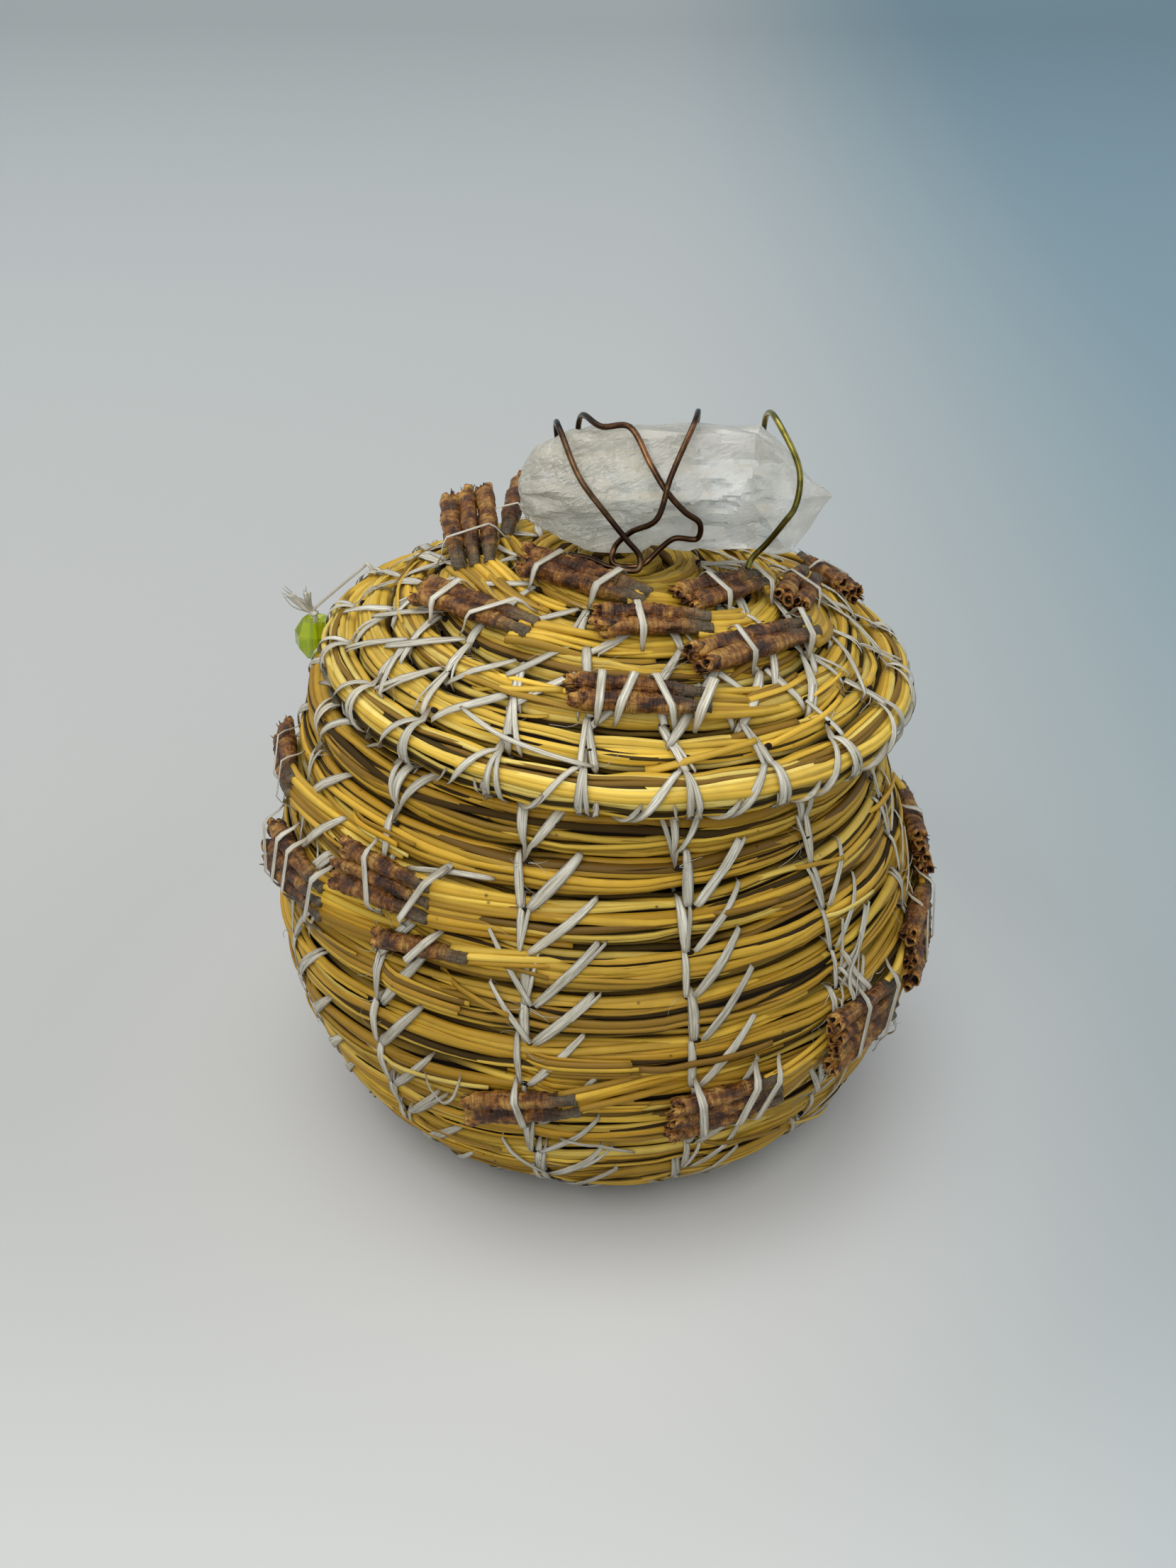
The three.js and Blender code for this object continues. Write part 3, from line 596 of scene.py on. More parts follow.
@dataclass(frozen=True)
class Finish:
    """What every finish has: a name, and a material that is made from its looks."""

    name: str

    def looks(self, graph: Graph) -> Looks:
        """Values and sockets for the shader's inputs, by their names; each finish has its own."""
        raise NotImplementedError

    def build(self) -> bpy.types.Material:
        """Makes the material and feeds its looks to its Principled shader."""
        material = bpy.data.materials.new(self.name)
        material.use_nodes = True
        graph = Graph(material.node_tree)
        graph.feed(material.node_tree.nodes["Principled BSDF"], self.looks(graph))
        return material


@dataclass(frozen=True)
class NeedleFinish(Finish):
    """Dried long needles: each its own straw or olive brown, with fine lines along it.

    The piece's tone gives the hue in red, the brightness in green and the shade in blue.
    """

    shade: float = 1.0
    ochre: Colour = (0.56, 0.335, 0.075)
    dead_brown: Colour = (0.12, 0.048, 0.006)
    brown: Colour = (0.27, 0.15, 0.016)
    gold: Colour = (0.83, 0.54, 0.07)
    straw: Colour = (0.94, 0.75, 0.22)
    olive: Colour = (0.80, 0.86, 0.70)
    line: Colour = (0.22, 0.11, 0.014)
    age: Colour = (0.22, 0.12, 0.032)
    speck: Colour = (0.06, 0.03, 0.012)
    # Painted shade: the near black of the gaps, the needles' inner sides, the grooves, the core and the
    # stitch holes.
    gap: Colour = (0.012, 0.006, 0.002)

    def looks(self, graph: Graph) -> Looks:
        """Straw in the needle's own hue, streaked, aged and specked, with painted shade in the gaps."""
        hue, light, dark = graph.tone
        lines, broad = graph.streaks(0.05, 5.0), graph.streaks(0.035, 0.9)
        specks = graph.specks(460.0, 0.16)
        browns = ((0.0, self.dead_brown), (0.22, self.brown), (0.5, self.ochre))
        colour = graph.ramp(hue, *browns, (0.8, self.gold), (1.0, self.straw))
        colour = graph.stain(colour, broad, 0.55, graph.mix(1.0, colour, self.olive, "MULTIPLY"))
        colour = graph.stain(colour, lines, 0.42, self.line)
        colour = graph.stain(colour, graph.ageing(0.62), 0.45, self.age)
        colour = graph.stain(colour, specks, 0.8, self.speck)
        colour = graph.shaded(colour, light, 0.5 * self.shade, 1.15 * self.shade)
        # The blue tone mixes in the painted shade.
        return {
            "Base Color": graph.mix(dark, colour, self.gap),
            "Roughness": graph.total((graph.spread(lines, 0, 1, 0.28, 0.48), 1), (dark, 0.5)),
            "Normal": graph.relief(graph.total((lines, -1.0), (specks, -0.6)), 0.35, 0.00012),
            "Specular IOR Level": 0.2,
        }


@dataclass(frozen=True)
class SinewFinish(Finish):
    """Flat waxed sinew: off-white, split into fibres, half clear between them, darker toward its ends.

    The piece's tone gives the darkening toward the ends in red and the brightness in green.
    """

    clear: Colour = (0.46, 0.42, 0.31)
    white: Colour = (0.88, 0.86, 0.77)
    band: Colour = (0.58, 0.53, 0.40)
    age: Colour = (0.50, 0.38, 0.20)
    end_dark: Colour = (0.20, 0.125, 0.05)

    def looks(self, graph: Graph) -> Looks:
        """White fibres over clearer ones, banded, aged and darker toward the ends."""
        darkened, light, _ = graph.tone
        fibres, bands = graph.streaks(0.2, 13.0), graph.streaks(0.12, 4.0)
        colour = graph.mix(fibres, self.clear, self.white)
        colour = graph.stain(colour, bands, 0.4, self.band)
        colour = graph.stain(colour, graph.ageing(0.55), 0.25, self.age)
        colour = graph.mix(darkened, colour, self.end_dark)
        return {
            "Base Color": graph.shaded(colour, light, 0.74, 1.1),
            "Roughness": graph.spread(fibres, 0, 1, 0.4, 0.24),
            "Alpha": graph.total((graph.spread(fibres, 0, 0.7, 0.42, 1), 1), (bands, -0.14)),
            "Normal": graph.relief(fibres, 0.7, 0.00012),
        }


@dataclass(frozen=True)
class CapFinish(Finish):
    """Papery needle caps: golden and torn at the tip, red brown, ringed, grey at the far end.

    The piece's tone gives the share of the length from the tip in red, a value of each cap's own
    in green and the painted shade in its hollows in blue.
    """

    black: Colour = (0.016, 0.004, 0.001)
    dark_brown: Colour = (0.11, 0.033, 0.005)
    red_brown: Colour = (0.36, 0.135, 0.018)
    amber: Colour = (0.70, 0.38, 0.085)
    own_brown: Colour = (0.20, 0.065, 0.012)
    ring: Colour = (0.014, 0.004, 0.001)
    # Painted highlight on ridges, and the near black of painted shade in cracks and hollows.
    ridge_highlight: Colour = (0.46, 0.22, 0.055)
    crack_shade: Colour = (0.008, 0.003, 0.001)
    dark_grey: Colour = (0.02, 0.016, 0.009)
    grey: Colour = (0.19, 0.15, 0.085)
    tip_dark: Colour = (0.05, 0.013, 0.003)
    copper: Colour = (0.34, 0.12, 0.016)
    gold: Colour = (0.78, 0.42, 0.09)

    def looks(self, graph: Graph) -> Looks:
        """Ringed and cracked bark with painted highlights on its ridges and painted shade in its cracks,
        a golden torn tip, a grey tail and painted shade in the hollows.
        """
        length, own, hollow = graph.tone
        rings, lines = graph.streaks(2.2, 0.8), graph.streaks(0.15, 6.0)
        blotch, patch = graph.noise(graph.place, 620.0, 4, 0.62), graph.noise(graph.place, 330.0, 4, 0.65)
        # Bark in random patches: its amber is partly peeled bark and partly painted highlight, its black
        # partly painted shade.
        bark = graph.ramp(
            patch, (0.37, self.black), (0.45, self.dark_brown), (0.53, self.red_brown), (0.63, self.amber)
        )
        bark = graph.stain(bark, own, 0.3, self.own_brown)
        bark = graph.stain(bark, rings, 0.7, self.ring)
        # Painted highlight where the lines stand up, painted shade where the bump sinks them into cracks.
        bark = graph.mix(graph.spread(lines, 0.1, 0.3, 0.4, 0), bark, self.ridge_highlight)
        bark = graph.mix(graph.spread(lines, 0.66, 0.9, 0, 0.85), bark, self.crack_shade)
        ragged = graph.total((length, 1), (blotch, 0.3))
        tail = graph.mix(lines, self.dark_grey, self.grey)
        colour = graph.mix(graph.spread(ragged, 0.84, 1.08, 0, 0.85), bark, tail)
        # Torn tip in random patches of gold and copper; its dark patches are partly painted shade between the
        # lobes.
        tip = graph.ramp(blotch, (0.4, self.tip_dark), (0.49, self.copper), (0.6, self.gold))
        colour = graph.mix(graph.spread(ragged, 0.17, 0.32, 1, 0), colour, tip)
        height = graph.total((rings, 0.7), (blotch, 0.9), (lines, -0.5))
        return {
            # Painted shade in the hollows of the torn tip.
            "Base Color": graph.mix(graph.spread(hollow, 0.1, 0.8, 0, 0.98), colour, self.crack_shade),
            "Roughness": graph.spread(blotch, 0.3, 0.7, 0.16, 0.46),
            "Normal": graph.relief(height, 1.0, 0.0006),
            "Specular IOR Level": 0.45,
        }


@dataclass(frozen=True)
class QuartzFinish(Finish):
    """Milky clear quartz: glossy faces over clouds, with slanting painted glints, dirty at the left."""

    smoky: Colour = (0.74, 0.74, 0.68)
    milky: Colour = (0.95, 0.95, 0.91)
    stained: Colour = (0.80, 0.74, 0.56)
    # White of the painted glints and painted sparkle.
    bright: Colour = (1.0, 1.0, 1.0)
    dirt: Colour = (0.10, 0.07, 0.03)
    lean: float = -0.42

    def looks(self, graph: Graph) -> Looks:
        """Clouds and leaning streaks of painted glints in clear stone, with painted sparkle and dirt on its
        worn end.
        """
        cloud, pits = graph.noise(graph.place, 110.0, 4, 0.6), graph.noise(graph.place, 170.0, 5, 0.62)
        colour = graph.mix(graph.spread(cloud, 0.35, 0.65), self.smoky, self.milky)
        worn = graph.spread(graph.add("SeparateXYZ", {0: graph.place}).outputs[0], -0.004, 0.012, 1.0, 0.0)
        colour = graph.stain(colour, worn, 0.5, self.stained)
        leaning = {0: graph.place, "Rotation": (0.0, self.lean, 0.0), "Scale": (3.6, 1.0, 1.0)}
        streak = graph.add("Mapping", leaning, vector_type="TEXTURE").outputs[0]
        streak = graph.noise(streak, 420.0, 4, 0.7)
        # Painted glints where the leaning streaks cross the clouds' middle, and painted sparkle on the worn
        # end.
        painted_glints = graph.times(graph.spread(cloud, 0.44, 0.56), graph.spread(streak, 0.54, 0.62))
        painted_sparkle = graph.times(worn, graph.spread(graph.noise(graph.place, 1500.0, 3, 0.7), 0.58, 0.64))
        colour = graph.mix(graph.math("MAXIMUM", painted_glints, painted_sparkle), colour, self.bright)
        colour = graph.stain(colour, graph.times(graph.specks(560.0, 0.2), worn), 0.7, self.dirt)
        flaws = graph.add("TexVoronoi", {"Vector": graph.place, "Scale": 230.0}).outputs["Distance"]
        height = graph.total((streak, 0.8), (pits, 1.2), (flaws, 0.5))
        height = graph.times(height, graph.spread(worn, 0, 1, 0.4, 1.0))
        return {
            "Base Color": colour,
            "Roughness": graph.spread(cloud, 0.35, 0.65, 0.05, 0.26),
            "Normal": graph.relief(height, 0.9, 0.0012),
            "IOR": 1.5,
            "Transmission Weight": 0.62,
        }


@dataclass(frozen=True)
class VeilFinish(Finish):
    """Healed cracks inside the quartz: white, torn into flecks."""

    dull: Colour = (0.8, 0.8, 0.79)
    white: Colour = (0.97, 0.97, 0.96)

    def looks(self, graph: Graph) -> Looks:
        """White flecks with nothing between them."""
        flecks = graph.noise(graph.place, 480.0, 5, 0.7)
        return {
            "Base Color": graph.mix(flecks, self.dull, self.white),
            "Alpha": graph.spread(flecks, 0.46, 0.6, 0, 0.9),
            "Roughness": 0.25,
        }


@dataclass(frozen=True)
class WireFinish(Finish):
    """Coloured craft wire: a dark skin, rubbed bright in places."""

    skin: Colour
    rubbed: Colour
    worn: float

    def looks(self, graph: Graph) -> Looks:
        """Metal whose skin is rubbed off in patches, with fine lines along it."""
        patch, lines = graph.noise(graph.place, 160.0, 4, 0.6), graph.streaks(0.4, 7.0)
        bare = graph.spread(patch, 0.62 - 0.3 * self.worn, 0.78 - 0.2 * self.worn)
        colour = graph.mix(bare, self.skin, self.rubbed)
        return {
            "Base Color": graph.stain(colour, lines, 0.3, self.skin),
            "Roughness": graph.spread(lines, 0, 1, 0.14, 0.3),
            "Normal": graph.relief(lines, 0.15, 0.00005),
            "Metallic": 1.0,
        }


@dataclass(frozen=True)
class BeadFinish(Finish):
    """Clear yellow-green glass with faint streaks of colour."""

    green: Colour = (0.36, 0.50, 0.003)
    yellow: Colour = (0.78, 0.88, 0.03)

    def looks(self, graph: Graph) -> Looks:
        """Clear glass whose colour and gloss vary a little."""
        streaks = graph.noise(graph.place, 300.0, 2, 0.5)
        return {
            "Base Color": graph.mix(streaks, self.green, self.yellow),
            "Roughness": graph.spread(streaks, 0.3, 0.7, 0.03, 0.1),
            "IOR": 1.52,
            "Transmission Weight": 0.75,
        }


@dataclass(frozen=True)
class GroundFinish(Finish):
    """Pale ground, darker to the back and right as a painted falloff of the light and cooler there,
    and painted lighter in the soft shadow.
    """

    front: Colour = (0.57, 0.575, 0.56)
    middle: Colour = (0.44, 0.445, 0.435)
    back: Colour = (0.47, 0.505, 0.515)
    shadow_lift: Colour = (0.63, 0.622, 0.61)
    cool: Colour = (0.47, 0.65, 0.76)
    thrown_back: Colour = (0.38, 0.37, 0.34)

    def looks(self, graph: Graph) -> Looks:
        """Paler colours where the photograph's ground is paler; what it throws back is dimmed."""
        x, y, _ = graph.add("SeparateXYZ", {0: graph.place}).outputs
        reach = graph.add("VectorMath", {0: graph.place}, operation="LENGTH").outputs["Value"]
        far, right, near, shadow = (
            graph.spread(value, low, high, kind="SMOOTHSTEP")
            for value, low, high in ((y, 0.02, 0.72), (x, 0.0, 0.19), (y, -0.17, 0.0), (reach, 0.095, 0.04))
        )
        shadow = graph.times(graph.spread(reach, 0.030, 0.039), shadow, graph.spread(x, -0.06, 0.0, 0.5, 1))
        # Painted falloff of the light: paler at the front, darker about the basket, cooler behind it.
        colour = graph.mix(near, self.front, self.middle)
        colour = graph.mix(far, colour, self.back)
        # Painted light: a lighter ring in the soft shadow round the basket, less of it on the left.
        colour = graph.mix(shadow, colour, self.shadow_lift)
        # Painted falloff: darker and cooler toward the right.
        colour = graph.mix(right, colour, self.cool, "MULTIPLY")
        bounced = graph.add("LightPath").outputs["Is Diffuse Ray"]
        return {
            "Base Color": graph.mix(bounced, colour, self.thrown_back, "MULTIPLY"),
            "Roughness": 0.7,
            "Specular IOR Level": 0.25,
        }


@dataclass
class MeshParts:
    """Grids of points that are gathered into one mesh, with a map and a tone for each point."""

    points: list[Array] = field(default_factory=list)
    quads: list[Array] = field(default_factory=list)
    maps: list[Array] = field(default_factory=list)
    tones: list[Array] = field(default_factory=list)
    count: int = 0
    tubes: int = 0

    def add_tubes(
        self,
        grid: Array,
        along: Array,
        tone: Array | Colour = (0.0, 0.0, 0.0),
        loop: bool = False,
        side_shade: Array | float = 0.0,
    ) -> None:
        """Adds closed tubes: quads join each ring to the next, and the ends are filled.

        Args:
            grid: Points in millimetres, as tube, ring, side and coordinate; sides are even.
            along: Length at each ring, one more than the rings where the tubes are loops.
            tone: Red, green and blue tone, as tube, ring and channel, or what spreads to it.
            loop: The last ring is joined to the first.
            side_shade: Least blue tone of each side, painted shade on the needles' inner sides.
        """
        tubes, rings, sides, _ = grid.shape
        index = np.arange(tubes * rings * sides).reshape(tubes, rings, sides)
        if loop:
            index = np.concatenate([index, index[:, :1]], axis=1)
        beside = np.roll(index, -1, axis=2)
        quads = joined(index[:, :-1], beside[:, :-1], beside[:, 1:], index[:, 1:]).reshape(-1, 4)
        reach = np.broadcast_to(along, (tubes, index.shape[1]))[:, :, None]
        number = self.tubes + np.arange(tubes)[:, None, None]
        before, after = (reach[:, part] + MAP_STEP * number for part in (slice(0, -1), slice(1, None)))
        left = np.arange(sides) / sides + MAP_SHIFT * number
        right = left + 1 / sides
        along, round_it = joined(before, before, after, after), joined(left, right, right, left)
        maps = joined(along, round_it).reshape(-1, 4, 2)
        if not loop:
            rung = np.arange(sides // 2 - 1)
            rungs = joined(rung, rung + 1, sides - 2 - rung, sides - 1 - rung)
            first, last = index[:, 0][:, rungs[:, ::-1]], index[:, -1][:, rungs]
            quads = np.concatenate([quads, first.reshape(-1, 4), last.reshape(-1, 4)])
            maps = np.concatenate([maps, np.zeros((len(quads) - len(maps), 4, 2))])
        points = grid.reshape(-1, 3)
        a, b, c, d = (points[quads[:, k]] for k in range(4))
        volume = np.einsum("ij,ij->", a, np.cross(b, c)) + np.einsum("ij,ij->", a, np.cross(c, d))
        if volume < 0:
            quads, maps = quads[:, ::-1], maps[:, ::-1]
        tones = np.broadcast_to(np.asarray(tone, float)[..., None, :], (tubes, rings, sides, 3)).copy()
        tones[..., 2] = np.maximum(tones[..., 2], side_shade)
        self.points.append(points)
        self.quads.append(quads + self.count)
        self.maps.append(maps)
        self.tones.append(tones.reshape(-1, 3))
        self.count += len(points)
        self.tubes += tubes

    def build(self, name: str, material: bpy.types.Material) -> bpy.types.Object:
        """Makes the object.

        Args:
            name: Its name.
            material: Its material.

        Returns:
            The object, smoothly shaded, at the origin, in metres.
        """
        points = np.concatenate(self.points) * MM
        quads = np.concatenate(self.quads)
        mesh = bpy.data.meshes.new(name)
        mesh.vertices.add(len(points))
        mesh.vertices.foreach_set("co", points.astype(np.float32).ravel())
        mesh.loops.add(quads.size)
        mesh.loops.foreach_set("vertex_index", quads.astype(np.int32).ravel())
        mesh.polygons.add(len(quads))
        mesh.polygons.foreach_set("loop_start", np.arange(0, quads.size, 4, dtype=np.int32))
        mesh.polygons.foreach_set("use_smooth", np.full(len(quads), True))
        layer = mesh.uv_layers.new(name="UVMap")
        layer.data.foreach_set("uv", np.concatenate(self.maps).astype(np.float32).ravel())
        tones = mesh.color_attributes.new("tone", "FLOAT_COLOR", "POINT")
        colours = np.concatenate([np.concatenate(self.tones), np.ones((len(points), 1))], axis=1)
        tones.data.foreach_set("color", colours.astype(np.float32).ravel())
        mesh.materials.append(material)
        mesh.update(calc_edges=True)
        piece = bpy.data.objects.new(name, mesh)
        bpy.context.scene.collection.objects.link(piece)
        return piece

    def dress(
        self, name: str, material: bpy.types.Material, body: str, slot: str, *nodes: str
    ) -> bpy.types.Object:
        """Makes the object, lets it ride on a body and lets it stand for CAD nodes.

        Args:
            name: Its name.
            material: Its material.
            body: Body that it moves with.
            slot: The record's material slot; not used.
            nodes: CAD nodes that it stands for.

        Returns:
            The object.
        """
        piece = self.build(name, material)
        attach(piece, body)
        if nodes:
            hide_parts(*nodes)
        LOG.info("%s: %d faces on %s", name, len(piece.data.polygons), body)
        return piece


def tube_grid(path: Array, radii: Array, sides: int, flat: float = 1.0) -> Array:
    """Points of a round tube: circles across a path, each turned as little as can be.

    Args:
        path: Points in millimetres.
        radii: Radius at each of them.
        sides: Points on a circle.
        flat: Second radius as a share of the first.

    Returns:
        Points as ring, side and coordinate.
    """
    forward = unit(np.gradient(path, axis=0))
    side = np.array([0.31, 0.87, 0.39])
    sideways = []
    for direction in forward:
        side = unit(side - direction * (side @ direction))
        sideways.append(side)
    first, angle = np.array(sideways), circle(sides)
    ring = first[:, None] * np.cos(angle)[None, :, None]
    ring = ring + flat * np.cross(forward, first)[:, None] * np.sin(angle)[None, :, None]
    return path[:, None] + np.asarray(radii)[:, None, None] * ring


def flat_grid(path: Array, half: Array, normal: Array, thickness: float = 0.09) -> Array:
    """Points of flat ribbons: a thin lens of six points across each path.

    Args:
        path: Points of each ribbon's middle line, as ribbon, station and coordinate.
        half: Half the width at each station.
        normal: Direction that the ribbons face.
        thickness: Half their thickness.

    Returns:
        Points as ribbon, station, side and coordinate.
    """
    forward = unit(np.gradient(path, axis=-2))
    beside = unit(np.cross(forward, normal))
    over = np.cross(beside, forward)
    grid = path[..., None, :] + half[..., None, None] * LENS_ACROSS[:, None] * beside[..., None, :]
    return grid + thickness * LENS_CROWN[:, None] * over[..., None, :]


class Materials:
    """Every material of the basket, made once."""

    def __init__(self) -> None:
        """Builds each finish."""
        self.lid_needles = NeedleFinish("lid_needles", 1.12, (0.66, 0.40, 0.042)).build()
        self.body_needles = NeedleFinish("body_needles", 1.04, (0.62, 0.34, 0.022)).build()
        # A darker copy of the needles for the rounds under the lid, painted shade.
        self.inner_needles = NeedleFinish("inner_needles", 0.8).build()
        self.sinew = SinewFinish("sinew").build()
        self.caps = CapFinish("needle_caps").build()
        self.quartz = QuartzFinish("quartz").build()
        self.veil = VeilFinish("quartz_veil").build()
        self.bronze = WireFinish("bronze_wire", (0.045, 0.026, 0.015), (0.26, 0.15, 0.075), 0.4).build()
        self.copper = WireFinish("copper_wire", (0.05, 0.026, 0.014), (0.34, 0.17, 0.08), 0.45).build()
        self.brass = WireFinish("brass_wire", (0.085, 0.075, 0.016), (0.46, 0.40, 0.09), 0.6).build()
        self.bead = BeadFinish("green_glass").build()
        self.ground = GroundFinish("ground").build()


@dataclass(frozen=True)
class NeedleKind:
    """What the needles of one kind in a bundle share.

    Args:
        thin, thick: Least and most half width, in millimetres.
        flat: Thickness as a share of the width.
        sink: How far they lie under the bundle's outside.
        brown: Share of brown ones.
        light: Brightness as a share of the broad ones'; the dimmer deeper kinds are partly painted shade.
        hidden: Share that lies in the dark.
    """

    thin: float
    thick: float
    flat: float
    sink: float
    brown: float
    light: float
    hidden: float


BROAD = NeedleKind(thin=0.62, thick=0.9, flat=0.6, sink=0.1, brown=0.04, light=1.0, hidden=0.0)
FINE = NeedleKind(thin=0.38, thick=0.6, flat=0.85, sink=0.0, brown=0.1, light=0.95, hidden=0.03)
DARK = NeedleKind(thin=0.22, thick=0.34, flat=0.9, sink=0.3, brown=0.35, light=0.75, hidden=0.42)
FILLER = NeedleKind(thin=0.5, thick=0.7, flat=0.85, sink=0.5, brown=0.3, light=0.6, hidden=0.5)
KINDS = np.array([astuple(kind) for kind in (BROAD, FINE, DARK, FILLER)])


@dataclass
class NeedleBundle:
    """The needles of one coil: thick ones on its outside, thin ones under them, a core in painted shade.

    Each needle strand keeps its place in the bundle and wanders a little; where one needle ends
    and the next begins, the strand dips under its neighbours and changes its tone.

    Args:
        coil: The coil.
        seed: Seed of its chance.
        hue: Lowest and highest tone of the needles.
        periodic: The strands close on themselves after one turn, as in a round.
        broad, fine, dark, fillers: How many strands there are of each kind.
        disorder: How much the strands wander.
        coarse: Thickness as a share of the usual one.
        needle_length: Least and most length of a needle.
        round_length: Length of needles in a closed round, for their joints and their map.
        step: Distance between two rings of points along the needles.
        sides: Points on a needle's section.
        joint_length: How far a strand's dip reaches from where two needles meet.
        fullness_power: How square the bundle is; one makes it an oval.
        core_share: Half the core's size as a share of the row's.
        core_shade_tone: The core's tone, painted shade.
        brown_hue: Lowest and highest tone of brown needles.
        open_shade, hidden_shade: Blue tone of needles in the light and in the dark.
    """

    coil: Coil
    seed: int
    hue: tuple[float, float]
    periodic: bool = False
    broad: int = 6
    fine: int = 13
    dark: int = 8
    fillers: int = 7
    disorder: float = 1.0
    coarse: float = 1.0
    needle_length: tuple[float, float] = (90.0, 210.0)
    round_length: float = 260.0
    step: float = 2.4
    sides: int = 6
    joint_length: float = 6.5
    fullness_power: float = 0.86
    core_share: float = 0.31
    core_shade_tone: Colour = (0.1, 0.2, 1.0)
    brown_hue: tuple[float, float] = (0.12, 0.4)
    open_shade: float = 0.08
    hidden_shade: float = 0.94

    def __post_init__(self) -> None:
        """Draws every strand's place, thickness, joints and tones."""
        rng = np.random.default_rng(self.seed)
        shown = self.broad + self.fine + self.dark
        count = shown + self.fillers
        order = rng.permutation(np.repeat([0, 1, 2], [self.broad, self.fine, self.dark]))
        kinds = KINDS[np.append(order, np.full(self.fillers, 3))]
        thin, thick, self.flat, sink, brown, light, hidden = kinds.T
        self.thick = self.coarse * (thin + (thick - thin) * rng.uniform(0, 1, count))
        # Painted shade on the sides of each needle that face the middle of the bundle.
        self.side_shade = smooth_step(0.15, 0.85, 0.5 - 0.5 * np.cos(circle(self.sides)))
        room = self.thick[:shown] + 0.12
        spots = (np.cumsum(room) - room / 2) / room.sum() + rng.uniform(-0.1, 0.1, shown) / shown
        inner = (np.arange(self.fillers) + rng.uniform(-0.4, 0.4, self.fillers)) / self.fillers
        self.spot = TURN * np.concatenate([spots, inner])
        self.sink = sink + rng.uniform(-0.14, 0.3, count)
        waves = (2, 3, 5, 7, 11) if self.periodic else (1.37, 2.71, 4.33, 6.9, 11.3)
        self.waves = np.array(waves) * TURN
        self.phase = rng.uniform(0, TURN, (3, count, len(waves)))
        total = self.round_length if self.periodic else float(self.coil.reach[-1])
        joints = int(total / self.needle_length[0]) + 2
        gaps = rng.uniform(*self.needle_length, (count, joints))
        self.joints = np.cumsum(gaps, axis=1) - gaps[:, :1] * rng.uniform(0, 1, (count, 1))
        low, high = self.hue
        hue = low + (high - low) * rng.beta(2.2, 1.6, (count, joints + 1))
        is_brown = rng.uniform(0, 1, hue.shape) < brown[:, None]
        hue = np.where(is_brown, rng.uniform(*self.brown_hue, hue.shape), hue)
        light = rng.uniform(0.3, 1.0, hue.shape) * light[:, None]
        is_hidden = rng.uniform(0, 1, hue.shape) < hidden[:, None]
        # Hidden needles take painted shade in their blue tone.
        self.tones = joined(hue, light, np.where(is_hidden, self.hidden_shade, self.open_shade))
        if self.periodic:
            self.tones[:, -1] = self.tones[:, 0]

    def wander(self, turn: Array, which: int) -> Array:
        """Smooth chance, about -1 to 1, of each strand at each turn: a sum of five waves."""
        waves = np.sin(turn[None, :, None] * self.waves + self.phase[which][:, None])
        return self.disorder * (waves / np.sqrt(np.arange(1, len(self.waves) + 1))).sum(axis=-1) / 1.6

    def fullness(self, low: Array, high: Array) -> Array:
        """Thickness of the coil between two edges, as a share of that of a whole row."""
        return np.sqrt(np.clip((high - low) / self.coil.pitch, 0.05, 1))

    def strands(self, turn: Array, low: Array, high: Array, reach: Array) -> tuple[Array, Array]:
        """Points and tones of all strands over a stretch of the coil.

        Args:
            turn: Turns from the coil's start, at each ring.
            low, high: Edges of the row there.
            reach: Length of needles up to there.

        Returns:
            Points as strand, ring, side and coordinate, and tones as strand, ring and channel.
            A strand's middle lies on an oval inside the row's edges, squeezed at the stitches,
            and its own section is a smaller oval about that.
        """
        coil = self.coil
        angle = START_ANGLE + TURN * turn
        middle = (low + high) / 2
        squeeze = coil.pinch(middle, angle)
        height, depth = (high - low) / 2 * squeeze, coil.depth / 2 * self.fullness(low, high) * squeeze
        away = np.abs(reach[None, :, None] - self.joints[:, None]).min(axis=-1)
        joint = np.exp(-((away / self.joint_length) ** 2))
        thick = self.thick[:, None] * (1 + 0.16 * self.wander(turn, 0)) * (1 - 0.4 * joint)
        thick = np.minimum(thick, 0.46 * height)
        spot = self.spot[:, None] + 0.25 * self.wander(turn, 1)
        inset = self.flat[:, None] * thick + self.sink[:, None] + 0.2 * self.wander(turn, 2) + joint
        cosine, sine = np.cos(spot), np.sin(spot)
        up = (height - inset) * np.sign(cosine) * np.abs(cosine) ** self.fullness_power
        out = (depth - inset) * np.sign(sine) * np.abs(sine) ** self.fullness_power
        radial = (self.flat[:, None] * thick)[..., None] * np.cos(circle(self.sides))
        beside = thick[..., None] * np.sin(circle(self.sides))
        up = up[..., None] + radial * cosine[..., None] - beside * sine[..., None]
        out = out[..., None] + radial * sine[..., None] + beside * cosine[..., None]
        points = coil.place(middle[None, :, None], up, out, angle[None, :, None])
        number = (reach[None, :, None] > self.joints[:, None]).sum(axis=-1)
        tones = np.take_along_axis(self.tones, number[..., None], axis=1)
        # Painted shade on the strands that lie along the grooves between rows.
        tones[..., 2] = np.maximum(tones[..., 2], 0.9 * smooth_step(0.93, 1.0, np.abs(cosine)))
        return points, tones

    def core(self, turn: Array, low: Array, high: Array) -> Array:
        """Points of the middle of the bundle, an oval of two thirds of the row, painted in shade."""
        up = self.core_share * (high - low)[:, None] * np.cos(circle(8))
        deep = self.core_share * self.coil.depth * self.fullness(low, high)
        out = deep[:, None] * np.sin(circle(8))
        angle = START_ANGLE + TURN * turn
        return self.coil.place(((low + high) / 2)[:, None], up, out, angle[:, None])[None]

